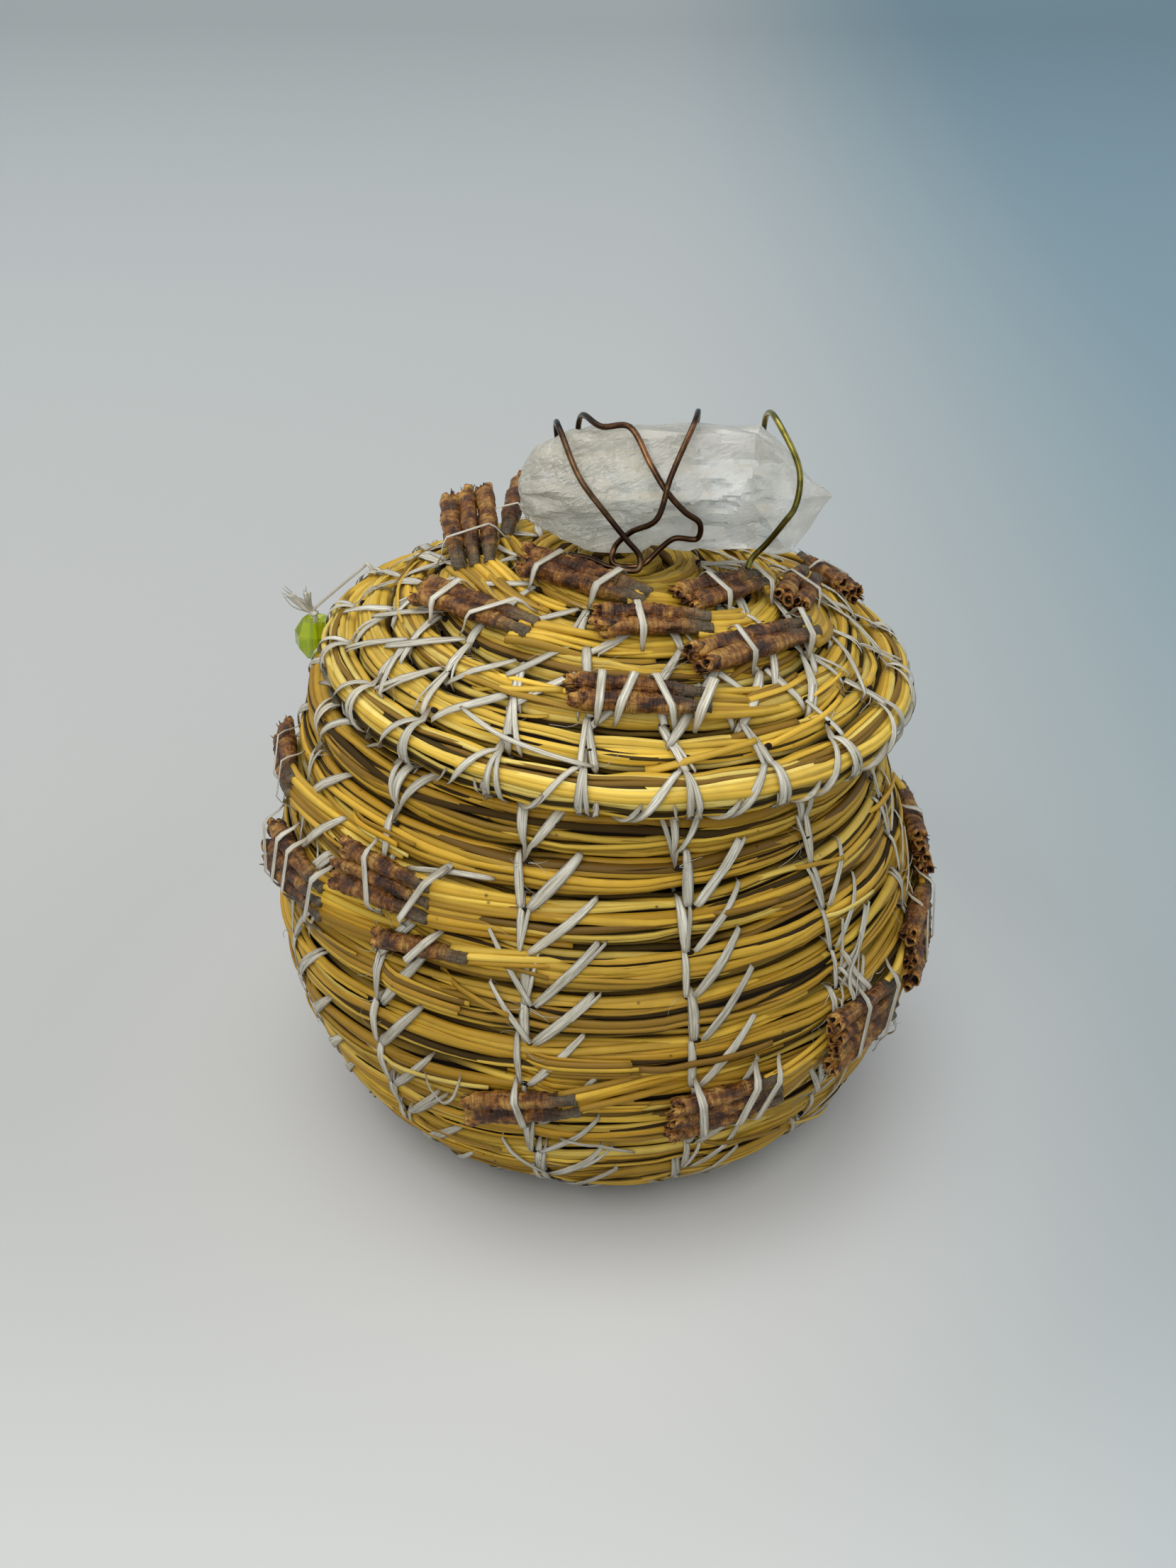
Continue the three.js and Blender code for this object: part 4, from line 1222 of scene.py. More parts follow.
    def row(self, number: int) -> MeshParts:
        """The needles of one turn; the turn before the first is the coil's start."""
        coil = self.coil
        rings = max(28, round((coil.travelled(number + 1) - coil.travelled(number)) / self.step))
        turn = number + np.linspace(0, 1, rings)
        low, high = coil.edges(turn)
        if number == -1:
            low, high = np.maximum(0, coil.groove(turn + 1) - coil.pitch), coil.groove(turn + 1)
        kept = (high - low) > 1.3
        turn, low, high = turn[kept], low[kept], high[kept]
        reach = coil.travelled(turn)
        parts = MeshParts()
        points, tones = self.strands(turn, low, high, reach)
        parts.add_tubes(points, reach, tones, side_shade=self.side_shade)
        parts.add_tubes(self.core(turn, low, high), reach, self.core_shade_tone)
        return parts

    def loose_ends(self, count: int, cut: tuple = ()) -> MeshParts:
        """Needles that come out of the rows and end cut off over their neighbours.

        Args:
            count: How many there are, spread by chance.
            cut: Bundles that end together: distance along the outline, angle in degrees, length
                and how many needles there are.

        Returns:
            Flat tubes that rise out of a row along a smooth step and drift off it.
        """
        coil = self.coil
        rng = np.random.default_rng(self.seed + 100)
        share = np.linspace(0, 1, 12)[None]
        distance = rng.uniform(0.4, 0.96, (count, 1)) * coil.length
        drift, length = rng.uniform(-2.8, 2.8, (count, 1)), rng.uniform(9, 26, (count, 1))
        start = rng.uniform(0, TURN, (count, 1))
        for place, bearing, reach, number in cut:
            spots = np.arange(number)[:, None] - (number - 1) / 2
            distance = np.vstack([distance, place + 0.72 * spots])
            drift = np.vstack([drift, rng.uniform(-0.5, 0.5, (number, 1))])
            length = np.vstack([length, reach + rng.uniform(-1.8, 1.8, (number, 1))])
            start = np.vstack([start, np.full((number, 1), bearing * DEGREE)])
        total = len(distance)
        ahead = distance + drift * share**1.5
        angle = start + length * share / coil.along(distance)[0]
        thick = rng.uniform(0.28, 0.58, (total, 1)) * (1 - 0.2 * share)
        height = coil.surface(ahead, angle) - 1.4 + (1.5 + 0.5 * thick) * smooth_step(0, 0.4, share)
        across = thick[..., None] * np.sin(circle(6))
        over = height[..., None] + 0.55 * thick[..., None] * np.cos(circle(6))
        points = coil.place(ahead[..., None] + across, 0.0, over, angle[..., None])
        hue, light = rng.uniform(0.1, 1, (total, 1)), rng.uniform(0.4, 1, (total, 1))
        parts = MeshParts()
        parts.add_tubes(points, share[0] * 20, joined(hue, light, 0 * share))
        return parts

    def round(self) -> MeshParts:
        """The needles of the closed round at the coil's outer edge."""
        coil = self.coil
        rings = round(float(TURN * coil.along(np.array(coil.length))[0]) / self.step)
        turn = np.arange(rings) / rings
        low = np.full(rings, coil.last_groove)
        high = low + coil.pitch
        along = self.round_length * np.arange(rings + 1) / rings
        parts = MeshParts()
        points, tones = self.strands(turn, low, high, self.round_length * turn)
        parts.add_tubes(points, along, tones, loop=True, side_shade=self.side_shade)
        parts.add_tubes(self.core(turn, low, high), along, self.core_shade_tone, loop=True)
        return parts


@dataclass(frozen=True)
class StitchKind:
    """One kind of stitch.

    Args:
        width: Least and most width, in millimetres.
        lift: How high it lies over the other stitches.
        share: Share of the rows that have one.
    """

    width: tuple[float, float]
    lift: float = 0.0
    share: float = 1.0


STRAIGHT = StitchKind((0.8, 1.4))
TWIN = StitchKind((0.45, 0.85), 0.08, 0.7)
SLANTING = StitchKind((0.9, 1.5), 0.06)
PAIRED = StitchKind((0.6, 0.9), 0.04, 0.3)
CROSSING = StitchKind((0.7, 1.1), 0.12)
# Over the edge: share of the slanting stitches' way round, and widths.
EDGE_STITCHES = ((0.06, (0.9, 1.3)), (-0.2, (0.5, 0.9)), (0.9, (0.8, 1.2)))
NET_WIDTH = (0.3, 0.85)


@dataclass
class Stitching:
    """Flat sinew stitches on one side of a coil, in columns from row to row.

    Args:
        coil: The coil.
        side: Outside or inside.
        first: Distance from the middle at which each column starts, one for each column.
        slant: How far a slanting stitch goes round, in millimetres; negative leans back.
        seed: Seed of its chance.
        rise: Least and most rows that a slanting stitch climbs.
        slack: How much further round the slanting stitches go on the left than on the right.
        both_ways: Share of the columns' rows that have a slanting stitch the other way too.
        stations: Places along a stitch.
        end_width: Width of a stitch's ends as a share of its middle's.
        end_dark: How dark its ends are.
        end_dark_reach: Share of its length that is darkened.
    """

    coil: Coil
    side: Side
    first: Array
    slant: float
    seed: int
    rise: tuple[float, float] = (1.2, 1.55)
    slack: float = 0.0
    both_ways: float = 0.0
    stations: int = 10
    end_width: float = 0.38
    end_dark: float = 0.75
    end_dark_reach: float = 0.09

    def __post_init__(self) -> None:
        """Prepares the chance and the gathered parts."""
        self.rng = np.random.default_rng(self.seed)
        self.parts = MeshParts()
        self.holes = MeshParts()

    def laid(self, distance: Array, out: Array, angle: Array) -> Array:
        """Points on this side of the coil; the basket's stay over the surface that it stands on."""
        points = self.coil.place(distance, 0.0, self.side.value * out, angle)
        if self.coil.lie is Lie.BASKET:
            points[..., 2] = np.maximum(points[..., 2], LEAST_HEIGHT)
        return points

    def stretched(self, distance: Array, angle: Array, lift: Array) -> Array:
        """Height of ribbons that are stretched over the rows and go down into them at both ends.

        Args:
            distance: Distance along the outline, as ribbon and station.
            angle: Angle round the basket there.
            lift: Extra height of each ribbon.

        Returns:
            Heights: at each station the highest of the rows and of all chords over it.
        """
        rows = self.coil.surface(distance, angle)
        out, stations = rows.copy(), rows.shape[1]
        share = np.linspace(0, 1, stations)
        for start in range(stations - 2):
            for end in range(start + 2, stations):
                inner = slice(start + 1, end)
                part = (share[inner] - share[start]) / (share[end] - share[start])
                chord = rows[:, start, None] * (1 - part) + rows[:, end, None] * part
                out[:, inner] = np.maximum(out[:, inner], chord)
        out = out + 0.1 + lift[:, None]
        out[:, [0, -1]] = rows[:, [0, -1]] - BURIED
        return out

    def ribbon(self, distance: Array, angle: Array, width: Array, out: Array) -> None:
        """Adds ribbons, flat lenses that narrow to their ends and are darker there.

        Args:
            distance: Distance along the outline, as ribbon and station.
            angle: Angle round the basket there.
            width: Width of each ribbon.
            out: Height there.
        """
        share = np.linspace(0, 1, distance.shape[1])
        radius = self.coil.along(distance)[0]
        ahead = np.gradient(distance, axis=1)
        aside = np.gradient(angle, axis=1) * radius
        length = np.hypot(ahead, aside) + 1e-6
        middle = np.clip(np.sin(np.pi * share), 0, 1) ** 0.55
        half = width[:, None] / 2 * (self.end_width + (1 - self.end_width) * middle)
        half = half * (1 + 0.12 * np.sin(share * 7 + 40 * angle[:, :1]))
        shift = half[..., None] * LENS_ACROSS
        points = self.laid(
            distance[..., None] - shift * (aside / length)[..., None],
            out[..., None] + 0.06 * LENS_CROWN + 0.02 * np.abs(LENS_CROWN),
            angle[..., None] + shift * (ahead / length / radius)[..., None],
        )
        steps = np.linalg.norm(np.diff(points[:, :, 0], axis=1), axis=-1)
        along = np.concatenate([np.zeros((len(points), 1)), np.cumsum(steps, axis=1)], axis=1)
        # Darker brown toward both ends, where the ribbon goes down into the rows.
        darkened = self.end_dark * np.exp(-((np.minimum(share, 1 - share) / self.end_dark_reach) ** 2))
        light = self.rng.uniform(0.2, 1, (len(points), 1))
        self.parts.add_tubes(points, along, joined(darkened[None], light, 0.0))

    def lines(self, low: Array, high: Array, start: Array, end: Array) -> tuple[Array, Array]:
        """Distance and angle of straight stitches at their stations, close together at the ends."""
        share = (1 - np.cos(np.pi * np.linspace(0, 1, self.stations))) / 2
        distance = low[:, None] * (1 - share) + high[:, None] * share
        return distance, start[:, None] * (1 - share) + end[:, None] * share

    def column_ends(self) -> tuple[Array, Array, Array]:
        """Groove below each stitch, its column's angle there and the radius, row by row."""
        coil = self.coil
        turn = np.arange(0, coil.turns)[:, None]
        angle = np.broadcast_to(coil.columns, (coil.turns, len(coil.columns)))
        groove = coil.groove(turn + coil.share(angle))
        for _ in range(2):
            angle = coil.columns + coil.swing * (groove - coil.length)
            groove = coil.groove(turn + coil.share(angle))
        height = np.minimum(groove + coil.pitch, coil.last_groove) - groove
        kept = (groove > self.first) & (height > 0.35 * coil.pitch)
        closing = np.full(len(coil.columns), coil.last_groove)
        closing_angle = coil.columns + coil.swing * (closing - coil.length)
        groove = np.concatenate([groove[kept], closing])
        return groove, np.concatenate([angle[kept], closing_angle]), coil.along(groove)[0]

    def sew(self) -> MeshParts:
        """Adds a straight stitch and a slanting one for each row of each column.

        Returns:
            The gathered parts.
        """
        coil, rng, pitch = self.coil, self.rng, self.coil.pitch
        groove, angle, radius = self.column_ends()
        edge = groove >= coil.last_groove - 0.01
        body = ~edge
        count = len(groove)
        jitter = rng.uniform(-0.6, 0.6, count) / radius
        low = groove + pitch * rng.uniform(-0.3, -0.16, count)
        high = low + pitch * rng.uniform(1.1, 1.26, count)
        start, end = angle + jitter, angle + jitter + coil.swing * pitch
        leaning = rng.uniform(-0.7, 0.7, count) / radius
        self.stitches(STRAIGHT, body, low, high, start, end + leaning)
        double = body & (rng.uniform(0, 1, count) < TWIN.share)
        gap = rng.uniform(0.8, 1.7, count) * rng.choice([-1, 1], count) / radius
        self.stitches(TWIN, double, low, high, start, end + gap)
        reach = (self.slant - self.slack * np.cos(angle)) * rng.uniform(0.82, 1.18, count) / radius
        top = low + pitch * rng.uniform(*self.rise, count)
        foot = start + math.copysign(0.9, self.slant) / radius
        fits = body & (top < coil.last_groove + 0.3 * pitch)
        self.stitches(SLANTING, fits, low, top, foot, foot + reach)
        paired = fits & (rng.uniform(0, 1, count) < PAIRED.share)
        beside = rng.uniform(0.7, 1.3, count) / radius
        self.stitches(PAIRED, paired, low, top, foot, foot + reach + beside)
        other = fits & (rng.uniform(0, 1, count) < self.both_ways)
        self.stitches(CROSSING, other, low, top, foot, foot - 0.7 * reach)
        self.wrap_edge(low[edge], start[edge], reach[edge])
        self.pierce(low, start)
        self.fray(low, start, 2 * count)
        return self.parts

    def stitches(
        self, kind: StitchKind, chosen: Array, low: Array, high: Array, start: Array, end: Array
    ) -> None:
        """Adds straight stitches for some of the columns' rows.

        Args:
            kind: Their kind.
            chosen: Which of the rows get one.
            low, high: Distances along the outline of their ends.
            start, end: Angles of their ends.
        """
        count = int(chosen.sum())
        if not count:
            return
        distance, angle = self.lines(low[chosen], high[chosen], start[chosen], end[chosen])
        width, lift = self.rng.uniform(*kind.width, count), np.full(count, kind.lift)
        self.ribbon(distance, angle, width, self.stretched(distance, angle, lift))

    def pierce(self, distance: Array, angle: Array) -> None:
        """Adds the small holes that stitches come out of: flat balls sunk in the rows, dark with painted
        shade.

        Args:
            distance: Distance of each hole along the outline.
            angle: Its angle.
        """
        around = circle(8)[None, None]
        belt = (np.linspace(-0.95, 0.95, 5) * np.pi / 2)[None, :, None]
        wide = self.rng.uniform(0.45, 0.8, (len(distance), 1, 1))
        rows = self.coil.surface(distance, angle)[:, None, None]
        radius = self.coil.along(distance)[0][:, None, None]
        points = self.coil.place(
            distance[:, None, None] + HOLE_RADIUS * np.sin(around) * np.cos(belt),
            0.0,
            self.side.value * (rows - 0.2 + HOLE_RADIUS * np.sin(belt)),
            angle[:, None, None] + (0.5 + wide * np.cos(around) * np.cos(belt)) / radius,
        )
        # A blue tone of one gives the holes the needles' painted gap shade.
        self.holes.add_tubes(points, np.arange(5.0), (0.1, 0.1, 1.0))

    def fray(self, distance: Array, angle: Array, count: int) -> None:
        """Adds fine loose fibres that curl away from where stitches come out.

        Args:
            distance: Distance along the outline of the places that they start from.
            angle: Their angles.
            count: How many fibres there are; each wanders in a smooth random way.
        """
        coil, rng, stations = self.coil, self.rng, 7
        chosen = rng.integers(0, len(distance), count)
        share = np.linspace(0, 1, stations)
        heading = rng.uniform(0, TURN, (count, 1)) + rng.normal(0, 1.3, (count, 1)) * share
        stride = rng.uniform(1.2, 5.5, (count, 1)) / (stations - 1)
        ahead = distance[chosen][:, None] + np.cumsum(stride * np.sin(heading), axis=1)
        ahead = np.minimum(ahead, coil.length + 0.3 * coil.pitch)
        aside = np.cumsum(stride * np.cos(heading), axis=1) / coil.along(ahead)[0]
        aside = angle[chosen][:, None] + aside
        rows = coil.surface(ahead, aside) + SLACK_LIFT + rng.uniform(0, 0.8, (count, 1)) * share
        thick = (rng.uniform(0.04, 0.09, (count, 1)) * (1 - 0.6 * share))[..., None]
        ahead = ahead[..., None] + thick * np.cos(circle(4))
        rows = rows[..., None] + thick * np.sin(circle(4))
        self.parts.add_tubes(self.laid(ahead, rows, aside[..., None]), share, (0.0, 1.0, 0.0))

    def loose(self, width: float, *stops: tuple[float, float, float]) -> None:
        """Adds a loose length of sinew that lies over several rows.

        Args:
            width: Its width.
            stops: Distance along the outline, angle in degrees and height over the rows.
        """
        line = curve_through(np.array(stops), 6)[None]
        distance, angle, lift = line[..., 0], line[..., 1] * DEGREE, line[..., 2]
        out = self.coil.surface(distance, angle)
        out = np.maximum(out, out.mean(axis=1, keepdims=True)) + SLACK_LIFT + lift
        self.ribbon(distance, angle, np.array([width]), out)

    def net(self, distances: tuple[float, float], angle: float, spread: float, count: int) -> None:
        """Adds a disordered net of thin stitches that cross each other.

        Args:
            distances: Least and most distance along the outline.
            angle: Its middle, in degrees.
            spread: How far it reaches on both sides, in degrees.
            count: How many stitches there are.
        """
        rng = self.rng
        low = rng.uniform(*distances, count)
        high = low + rng.uniform(3.0, 9.5, count)
        start, end = ((angle + rng.uniform(-spread, spread, count)) * DEGREE for _ in range(2))
        distance, angles = self.lines(low, high, start, end)
        width, lift = rng.uniform(*NET_WIDTH, count), rng.uniform(0, 0.5, count)
        self.ribbon(distance, angles, width, self.stretched(distance, angles, lift))

    def wrap_edge(self, low: Array, start: Array, reach: Array) -> None:
        """Stitches over the closed round: up its face, over its edge and on to the other side.

        Args:
            low: Distance at which they come out.
            start: Angle there.
            reach: How far the slanting one of each pair goes round, as an angle.
        """
        coil, rng, shape = self.coil, self.rng, (len(low), 13)
        share = np.linspace(0, 1, shape[1])
        turn = (158 - 200 * share) * DEGREE
        around = coil.length + (coil.pitch / 2 + 0.1) * np.cos(turn)
        distance = np.broadcast_to(around, shape).copy()
        distance[:, 0] = low
        out = np.broadcast_to((coil.depth / 2 + 0.16) * np.sin(turn), shape).copy()
        out[:, 0] = coil.depth / 2 - 0.5
        for part, widths in EDGE_STITCHES:
            slant = (part + rng.uniform(-0.1, 0.1, (len(low), 1))) * reach[:, None]
            self.ribbon(distance, start[:, None] + slant * share, rng.uniform(*widths, len(low)), out)


# Way into a cap from its tip, and radius as a share of the cap's: the torn front.
CAP_FRONT = np.array([(1.5, 0.1), (0.9, 0.55), (0.8, 0.85), (1.3, 1.0), (2.1, 1.04)])
# A torn lobe, from its hollow over its lip to its root: way in, radius and painted shade of the hollow.
LOBE_PROFILE = np.array([
    (1.5, 0.06, 1.0), (0.9, 0.42, 1.0), (0.25, 0.54, 0.95), (-0.15, 0.66, 0.45), (-0.38, 0.84, 0.0),
    (-0.15, 1.0, 0.0), (0.45, 1.12, 0.2), (1.3, 1.04, 0.5), (2.6, 0.6, 0.85),
])


@dataclass(frozen=True)
class CapPlace:
    """Where one cap lies: the middle of its torn tip, the way into it and two ways across it."""

    tip: Array
    axis: Array
    side: Array
    other: Array

    def across(self, angle: Array) -> Array:
        """Directions across the cap, on a new last axis."""
        return np.cos(angle)[..., None] * self.side + np.sin(angle)[..., None] * self.other

    def at(self, along: Array, first: Array, second: Array) -> Array:
        """Points at a way along the cap and two ways across it."""
        aside = first[..., None] * self.side + second[..., None] * self.other
        return self.tip + along[..., None] * self.axis + aside


@dataclass
class CapGroup:
    """A bundle of needle caps on a coil, its torn tips pointing back along the coil.

    Args:
        name: Name of its CAD node.
        coil: The coil that it lies on.
        angle: Angle round the basket, in degrees.
        row: Row of the coil, and share of the next.
        count: Caps in the bundle.
        rows: Length as a number of rows of the coil.
        hold: Share of the length that lies ahead of the middle.
        fan: How far the tips spread.
        skew: Degrees that it lies askew.
        lift: How far its tips are lifted off the coil, in radii of a cap.
        tuck: How far its tails are tucked down to it, in radii of a cap.
        bands: Where sinew crosses it: the share of its length from the tips, and how far the
            band goes on toward the tails on its way to the outer rows.
    """

    name: str
    coil: Coil
    angle: float
    row: float
    count: int = 2
    rows: float = 2.9
    hold: float = 0.5
    fan: float = 0.4
    skew: float = 0.0
    lift: float = 0.0
    tuck: float = 0.0
    bands: tuple = ((0.45, -1.5),)

    def __post_init__(self) -> None:
        """Works out the middle of the bundle and its directions."""
        coil, bearing = self.coil, self.angle * DEGREE
        self.length = self.rows * coil.pitch
        whole = math.floor(self.row)
        distance = coil.crest(whole, bearing) + coil.pitch * (self.row - whole)
        out = coil.depth / 2 + CLEARANCE + CAP_RADIUS
        middle = coil.point(distance, out, bearing)
        back = unit(coil.point(distance, out, bearing - 0.01) - middle)
        across = unit(coil.point(distance + 0.5, out, bearing) - middle)
        normal = unit(np.cross(across, back))
        outward = coil.point(distance, out + 1, bearing) - middle
        self.normal = normal if normal @ outward > 0 else -normal
        cosine, sine = math.cos(self.skew * DEGREE), math.sin(self.skew * DEGREE)
        self.back = back * cosine + across * sine
        self.across = across * cosine - back * sine
        self.middle = middle - CAP_SINK * self.normal
        self.spacing = 1.5 * CAP_RADIUS
        self.rng = np.random.default_rng(round(self.angle * 10 + 1000 * self.row))

    def ends(self, index: int) -> tuple[Array, Array]:
        """Tip and tail of one cap of the bundle."""
        spot = index - (self.count - 1) / 2
        reach = self.length * (1 - CAP_STAGGER * (index % 3))
        tip = self.middle + self.back * reach * (1 - self.hold)
        tip = tip + self.across * spot * (self.spacing + self.fan) + self.normal * self.lift * CAP_RADIUS
        tail = self.middle - self.back * self.length * self.hold + self.across * spot * self.spacing
        return tip, tail - self.normal * self.tuck * CAP_RADIUS

    def cap(self, index: int, parts: MeshParts) -> None:
        """Adds one cap: a lumpy closed tube with torn hollow lobes round its tip.

        Args:
            index: Number of the cap in the bundle.
            parts: What it is added to.
        """
        rng = self.rng
        tip, tail = self.ends(index)
        length = float(np.linalg.norm(tail - tip))
        axis = (tail - tip) / length
        side = unit(self.across - axis * (self.across @ axis))
        place = CapPlace(tip, axis, side, np.cross(axis, side))
        share = np.linspace(0.17, 1, 40)
        rest = joined(share * length, 1.0 - 0.42 * smooth_step(0.45, 1.1, share))
        along, radius = np.concatenate([CAP_FRONT, rest]).T
        around, level = circle(16), along[:, None]
        lobes = 0.07 * np.cos(2 * (around - rng.uniform(0, TURN))) + 0.05 * np.cos(3 * around + index)
        lumps = 0.08 * np.sin(level * 1.1 + 2 * around + rng.uniform(0, TURN))
        rings = 0.06 * np.sin(level * 4.6 + 1.4 * np.sin(around + level) + rng.uniform(0, TURN))
        size = 0.5 * CAP_WIDTH * rng.uniform(0.9, 1.06)
        wide = size * radius[:, None] * (1 + lobes + lumps + rings)
        sway = rng.uniform(-0.35, 0.35)
        bend = np.sin(np.pi * level / length) * (0.12 * self.normal + sway * side)
        points = place.at(level, wide * np.cos(around), wide * np.sin(around)) + bend[:, None]
        parts.add_tubes(points[None], along, joined(along / length, rng.uniform(), 0.0)[None])
        self.torn_lobes(place, size, parts)
        self.fibres(place, 1, (0.0, 0.7, 9), (0.6, 1.7), 0.22, 0.0, parts)
        self.fibres(place, -1, (-0.98 * length, -0.62 * length, 16), (0.8, 2.2), 0.06, 1.0, parts)

    def torn_lobes(self, place: CapPlace, size: float, parts: MeshParts) -> None:
        """Adds the hollow lobes of a cap's torn tip: small cups side by side.

        Args:
            place: Where the cap lies.
            size: Radius of the cap.
            parts: What they are added to.
        """
        rng = self.rng
        count = int(rng.integers(2, 4))
        along, radius, hollow = LOBE_PROFILE.T
        start = rng.uniform(-0.5, 0.4, (count, 1, 1))
        bearing = (rng.uniform(0, TURN) + circle(count))[:, None, None]
        around, level = circle(10), along[:, None]
        ragged = np.sin(2 * around + bearing) + 0.7 * np.sin(3 * around + 2.0 * bearing)
        reach = level + start + 0.26 * ragged * (np.abs(level) < 0.9)
        wide = 0.58 * size * rng.uniform(0.8, 1.2, (count, 1, 1)) * radius[:, None]
        wide = wide * (1 + 0.12 * np.sin(2 * around + bearing) + 0.1 * np.sin(3 * around + 2 * level))
        off = 0.56 * size * (1.12 - 0.16 * reach)
        first = off * np.cos(bearing) + wide * np.cos(around)
        second = off * np.sin(bearing) + wide * np.sin(around)
        # Blue tone: painted shade in each lobe's hollow.
        tone = joined(0.02, rng.uniform(0, 1, (count, 1)), hollow[None])
        parts.add_tubes(place.at(reach, first, second), along, tone)

    def fibres(
        self,
        place: CapPlace,
        way: int,
        where: tuple[float, float, int],
        length: tuple[float, float],
        thick: float,
        tone: float,
        parts: MeshParts,
    ) -> None:
        """Adds fine fibres that stand off a cap, thinning to their ends.

        Args:
            place: Where the cap lies.
            way: 1 where the fibres point to the cap's tip, -1 where they point to its tail.
            where: Least and most way against theirs at which they start, and their number.
            length: Least and most length.
            thick: Half their width.
            tone: Share of the cap's length whose colour they have.
            parts: What they are added to.
        """
        rng, (near, far, count) = self.rng, where
        angle = rng.uniform(0, TURN, (count, 1))
        share = np.linspace(0, 1, 4)[None]
        start, reach = rng.uniform(near, far, (count, 1)), rng.uniform(*length, (count, 1))
        flare = 0.42 * CAP_WIDTH + rng.uniform(-0.15, 0.75, (count, 1)) * share**1.4
        radial, axis = place.across(angle), way * place.axis
        path = place.tip + (start + 0.5 - reach * share)[..., None] * axis + flare[..., None] * radial
        width = (thick * (1 - 0.8 * share))[..., None, None]
        ring = np.cos(circle(4))[:, None] * np.cross(radial, axis)[..., None, :]
        ring = ring + 0.4 * np.sin(circle(4))[:, None] * radial[..., None, :]
        tones = joined(tone, rng.uniform(0, 1, (count, 1)), 0.0 * share)
        parts.add_tubes(path[..., None, :] + width * ring, share[0] * 2, tones)

    def needle_ends(self, parts: MeshParts) -> None:
        """Adds the needles that come out of the caps' tails, turn along the coil and sink in it.

        Args:
            parts: What they are added to.
        """
        coil, rng, each = self.coil, self.rng, 3
        total = self.count * each
        tails = np.array([self.ends(index)[1] for index in range(self.count)]).repeat(each, axis=0)
        distance, out, angle = (value[:, None] for value in coil.locate(tails))
        beside = np.tile(np.linspace(-0.75, 0.75, each), self.count)[:, None]
        share = np.linspace(0, 1, 20)[None]
        run = -2.5 + rng.uniform(20, 34, (total, 1)) * share
        drift = -math.sin(self.skew * DEGREE) * 7 * (1 - np.exp(-run / 7))
        drift = drift + rng.uniform(-0.6, 0.6, (total, 1)) * share
        bearing = angle + math.cos(self.skew * DEGREE) * run / (coil.along(distance)[0] + out)
        bed = coil.depth / 2 - 1.3
        height = out - 0.2 + (bed - out) * smooth_step(0.0, 0.7, share) - 0.3 * np.abs(beside)
        thick = (rng.uniform(0.42, 0.7, (total, 1)) * (1 - 0.3 * share))[..., None]
        points = coil.place(
            (distance + beside + drift)[..., None],
            thick * np.cos(circle(6)),
            height[..., None] + 0.9 * thick * np.sin(circle(6)),
            bearing[..., None],
        )
        hue, light = rng.uniform(0.25, 0.85, (total, 1)), rng.uniform(0.35, 0.95, (total, 1))
        parts.add_tubes(points, share[0] * 30, joined(hue, light, 0.0 * share))

    def bind(self, parts: MeshParts) -> None:
        """Adds the flat sinew that crosses the bundle from the rows on one side to the other.

        Args:
            parts: What it is added to.
        """
        share = np.linspace(-1, 1, 15)
        reach = (self.count - 1) * (self.spacing + self.fan) / 2 + CAP_WIDTH / 2 + 1.5
        fall = smooth_step(0.58, 1.0, np.abs(share))
        bound = np.array(self.bands)
        where = self.length * (1 - self.hold - bound[:, :1]) - bound[:, 1:] * share / 2
        height = 0.5 * CAP_WIDTH + 0.3 - (0.5 * CAP_WIDTH + CAP_RADIUS + 1.3 - CAP_SINK) * fall
        raised = self.lift * CAP_RADIUS * np.clip(where / self.length + 0.5, 0, 1)
        path = self.middle + where[..., None] * self.back + (reach * share)[:, None] * self.across
        path = path + (height + raised)[..., None] * self.normal
        width = self.rng.uniform(0.95, 1.35, (len(bound), 1)) * (1 - 0.55 * fall**2)
        # Red tone darkens the band where it falls to the rows.
        tone = joined(0.7 * fall**3, self.rng.uniform(0.3, 1, (len(bound), 1)), 0.0)
        parts.add_tubes(flat_grid(path, width / 2, self.normal), np.linspace(0, 2 * reach, 15), tone)


BODY_CAPS = [
    CapGroup("caps_body_left_high", BODY_COIL, 192, 12.35, rows=2.4, bands=((0.44, -5.1), (0.88, -3.3))),
    CapGroup("caps_body_left", BODY_COIL, 207.5, 10.85, 3, 3.2, fan=0.9, skew=-5,
             bands=((0.1, -3.0), (0.3, 1.9), (0.5, 2.3), (0.95, 2.8))),
    CapGroup("caps_body_front_left", BODY_COIL, 232.5, 11.95, 3, 2.5, skew=-3,
             bands=((0.4, -2.0), (0.9, 6.4))),
    CapGroup("caps_body_front_left_low", BODY_COIL, 241.4, 11, 1, 2.2, skew=-8, bands=((0.51, 6.0),)),
    CapGroup("caps_body_front_low", BODY_COIL, 258.3, 8, rows=2.5, skew=-13, bands=((0.5, 0.1),)),
    CapGroup("caps_body_front_right", BODY_COIL, 291.3, 7.8, 3, 2.5, skew=-8,
             bands=((0.26, 0.5), (0.66, 5.3), (0.84, 6.2))),
    CapGroup("caps_body_right_low", BODY_COIL, 320, 8.3, 4, 2.3, bands=((0.35, 3.0), (0.8, 4.0))),
    CapGroup("caps_body_right", BODY_COIL, 344, 8.6, 4, 2.4, bands=((0.4, 2.0), (0.8, 3.0))),
    CapGroup("caps_body_right_high", BODY_COIL, 2.5, 9.75, 3, 2.7),
    CapGroup("caps_body_back_1", BODY_COIL, 45, 11, skew=6),
    CapGroup("caps_body_back_2", BODY_COIL, 95, 8, 3, skew=-4, bands=((0.3, 1.0), (0.7, 3.0))),
    CapGroup("caps_body_back_3", BODY_COIL, 128, 11, 3, skew=-7),
]
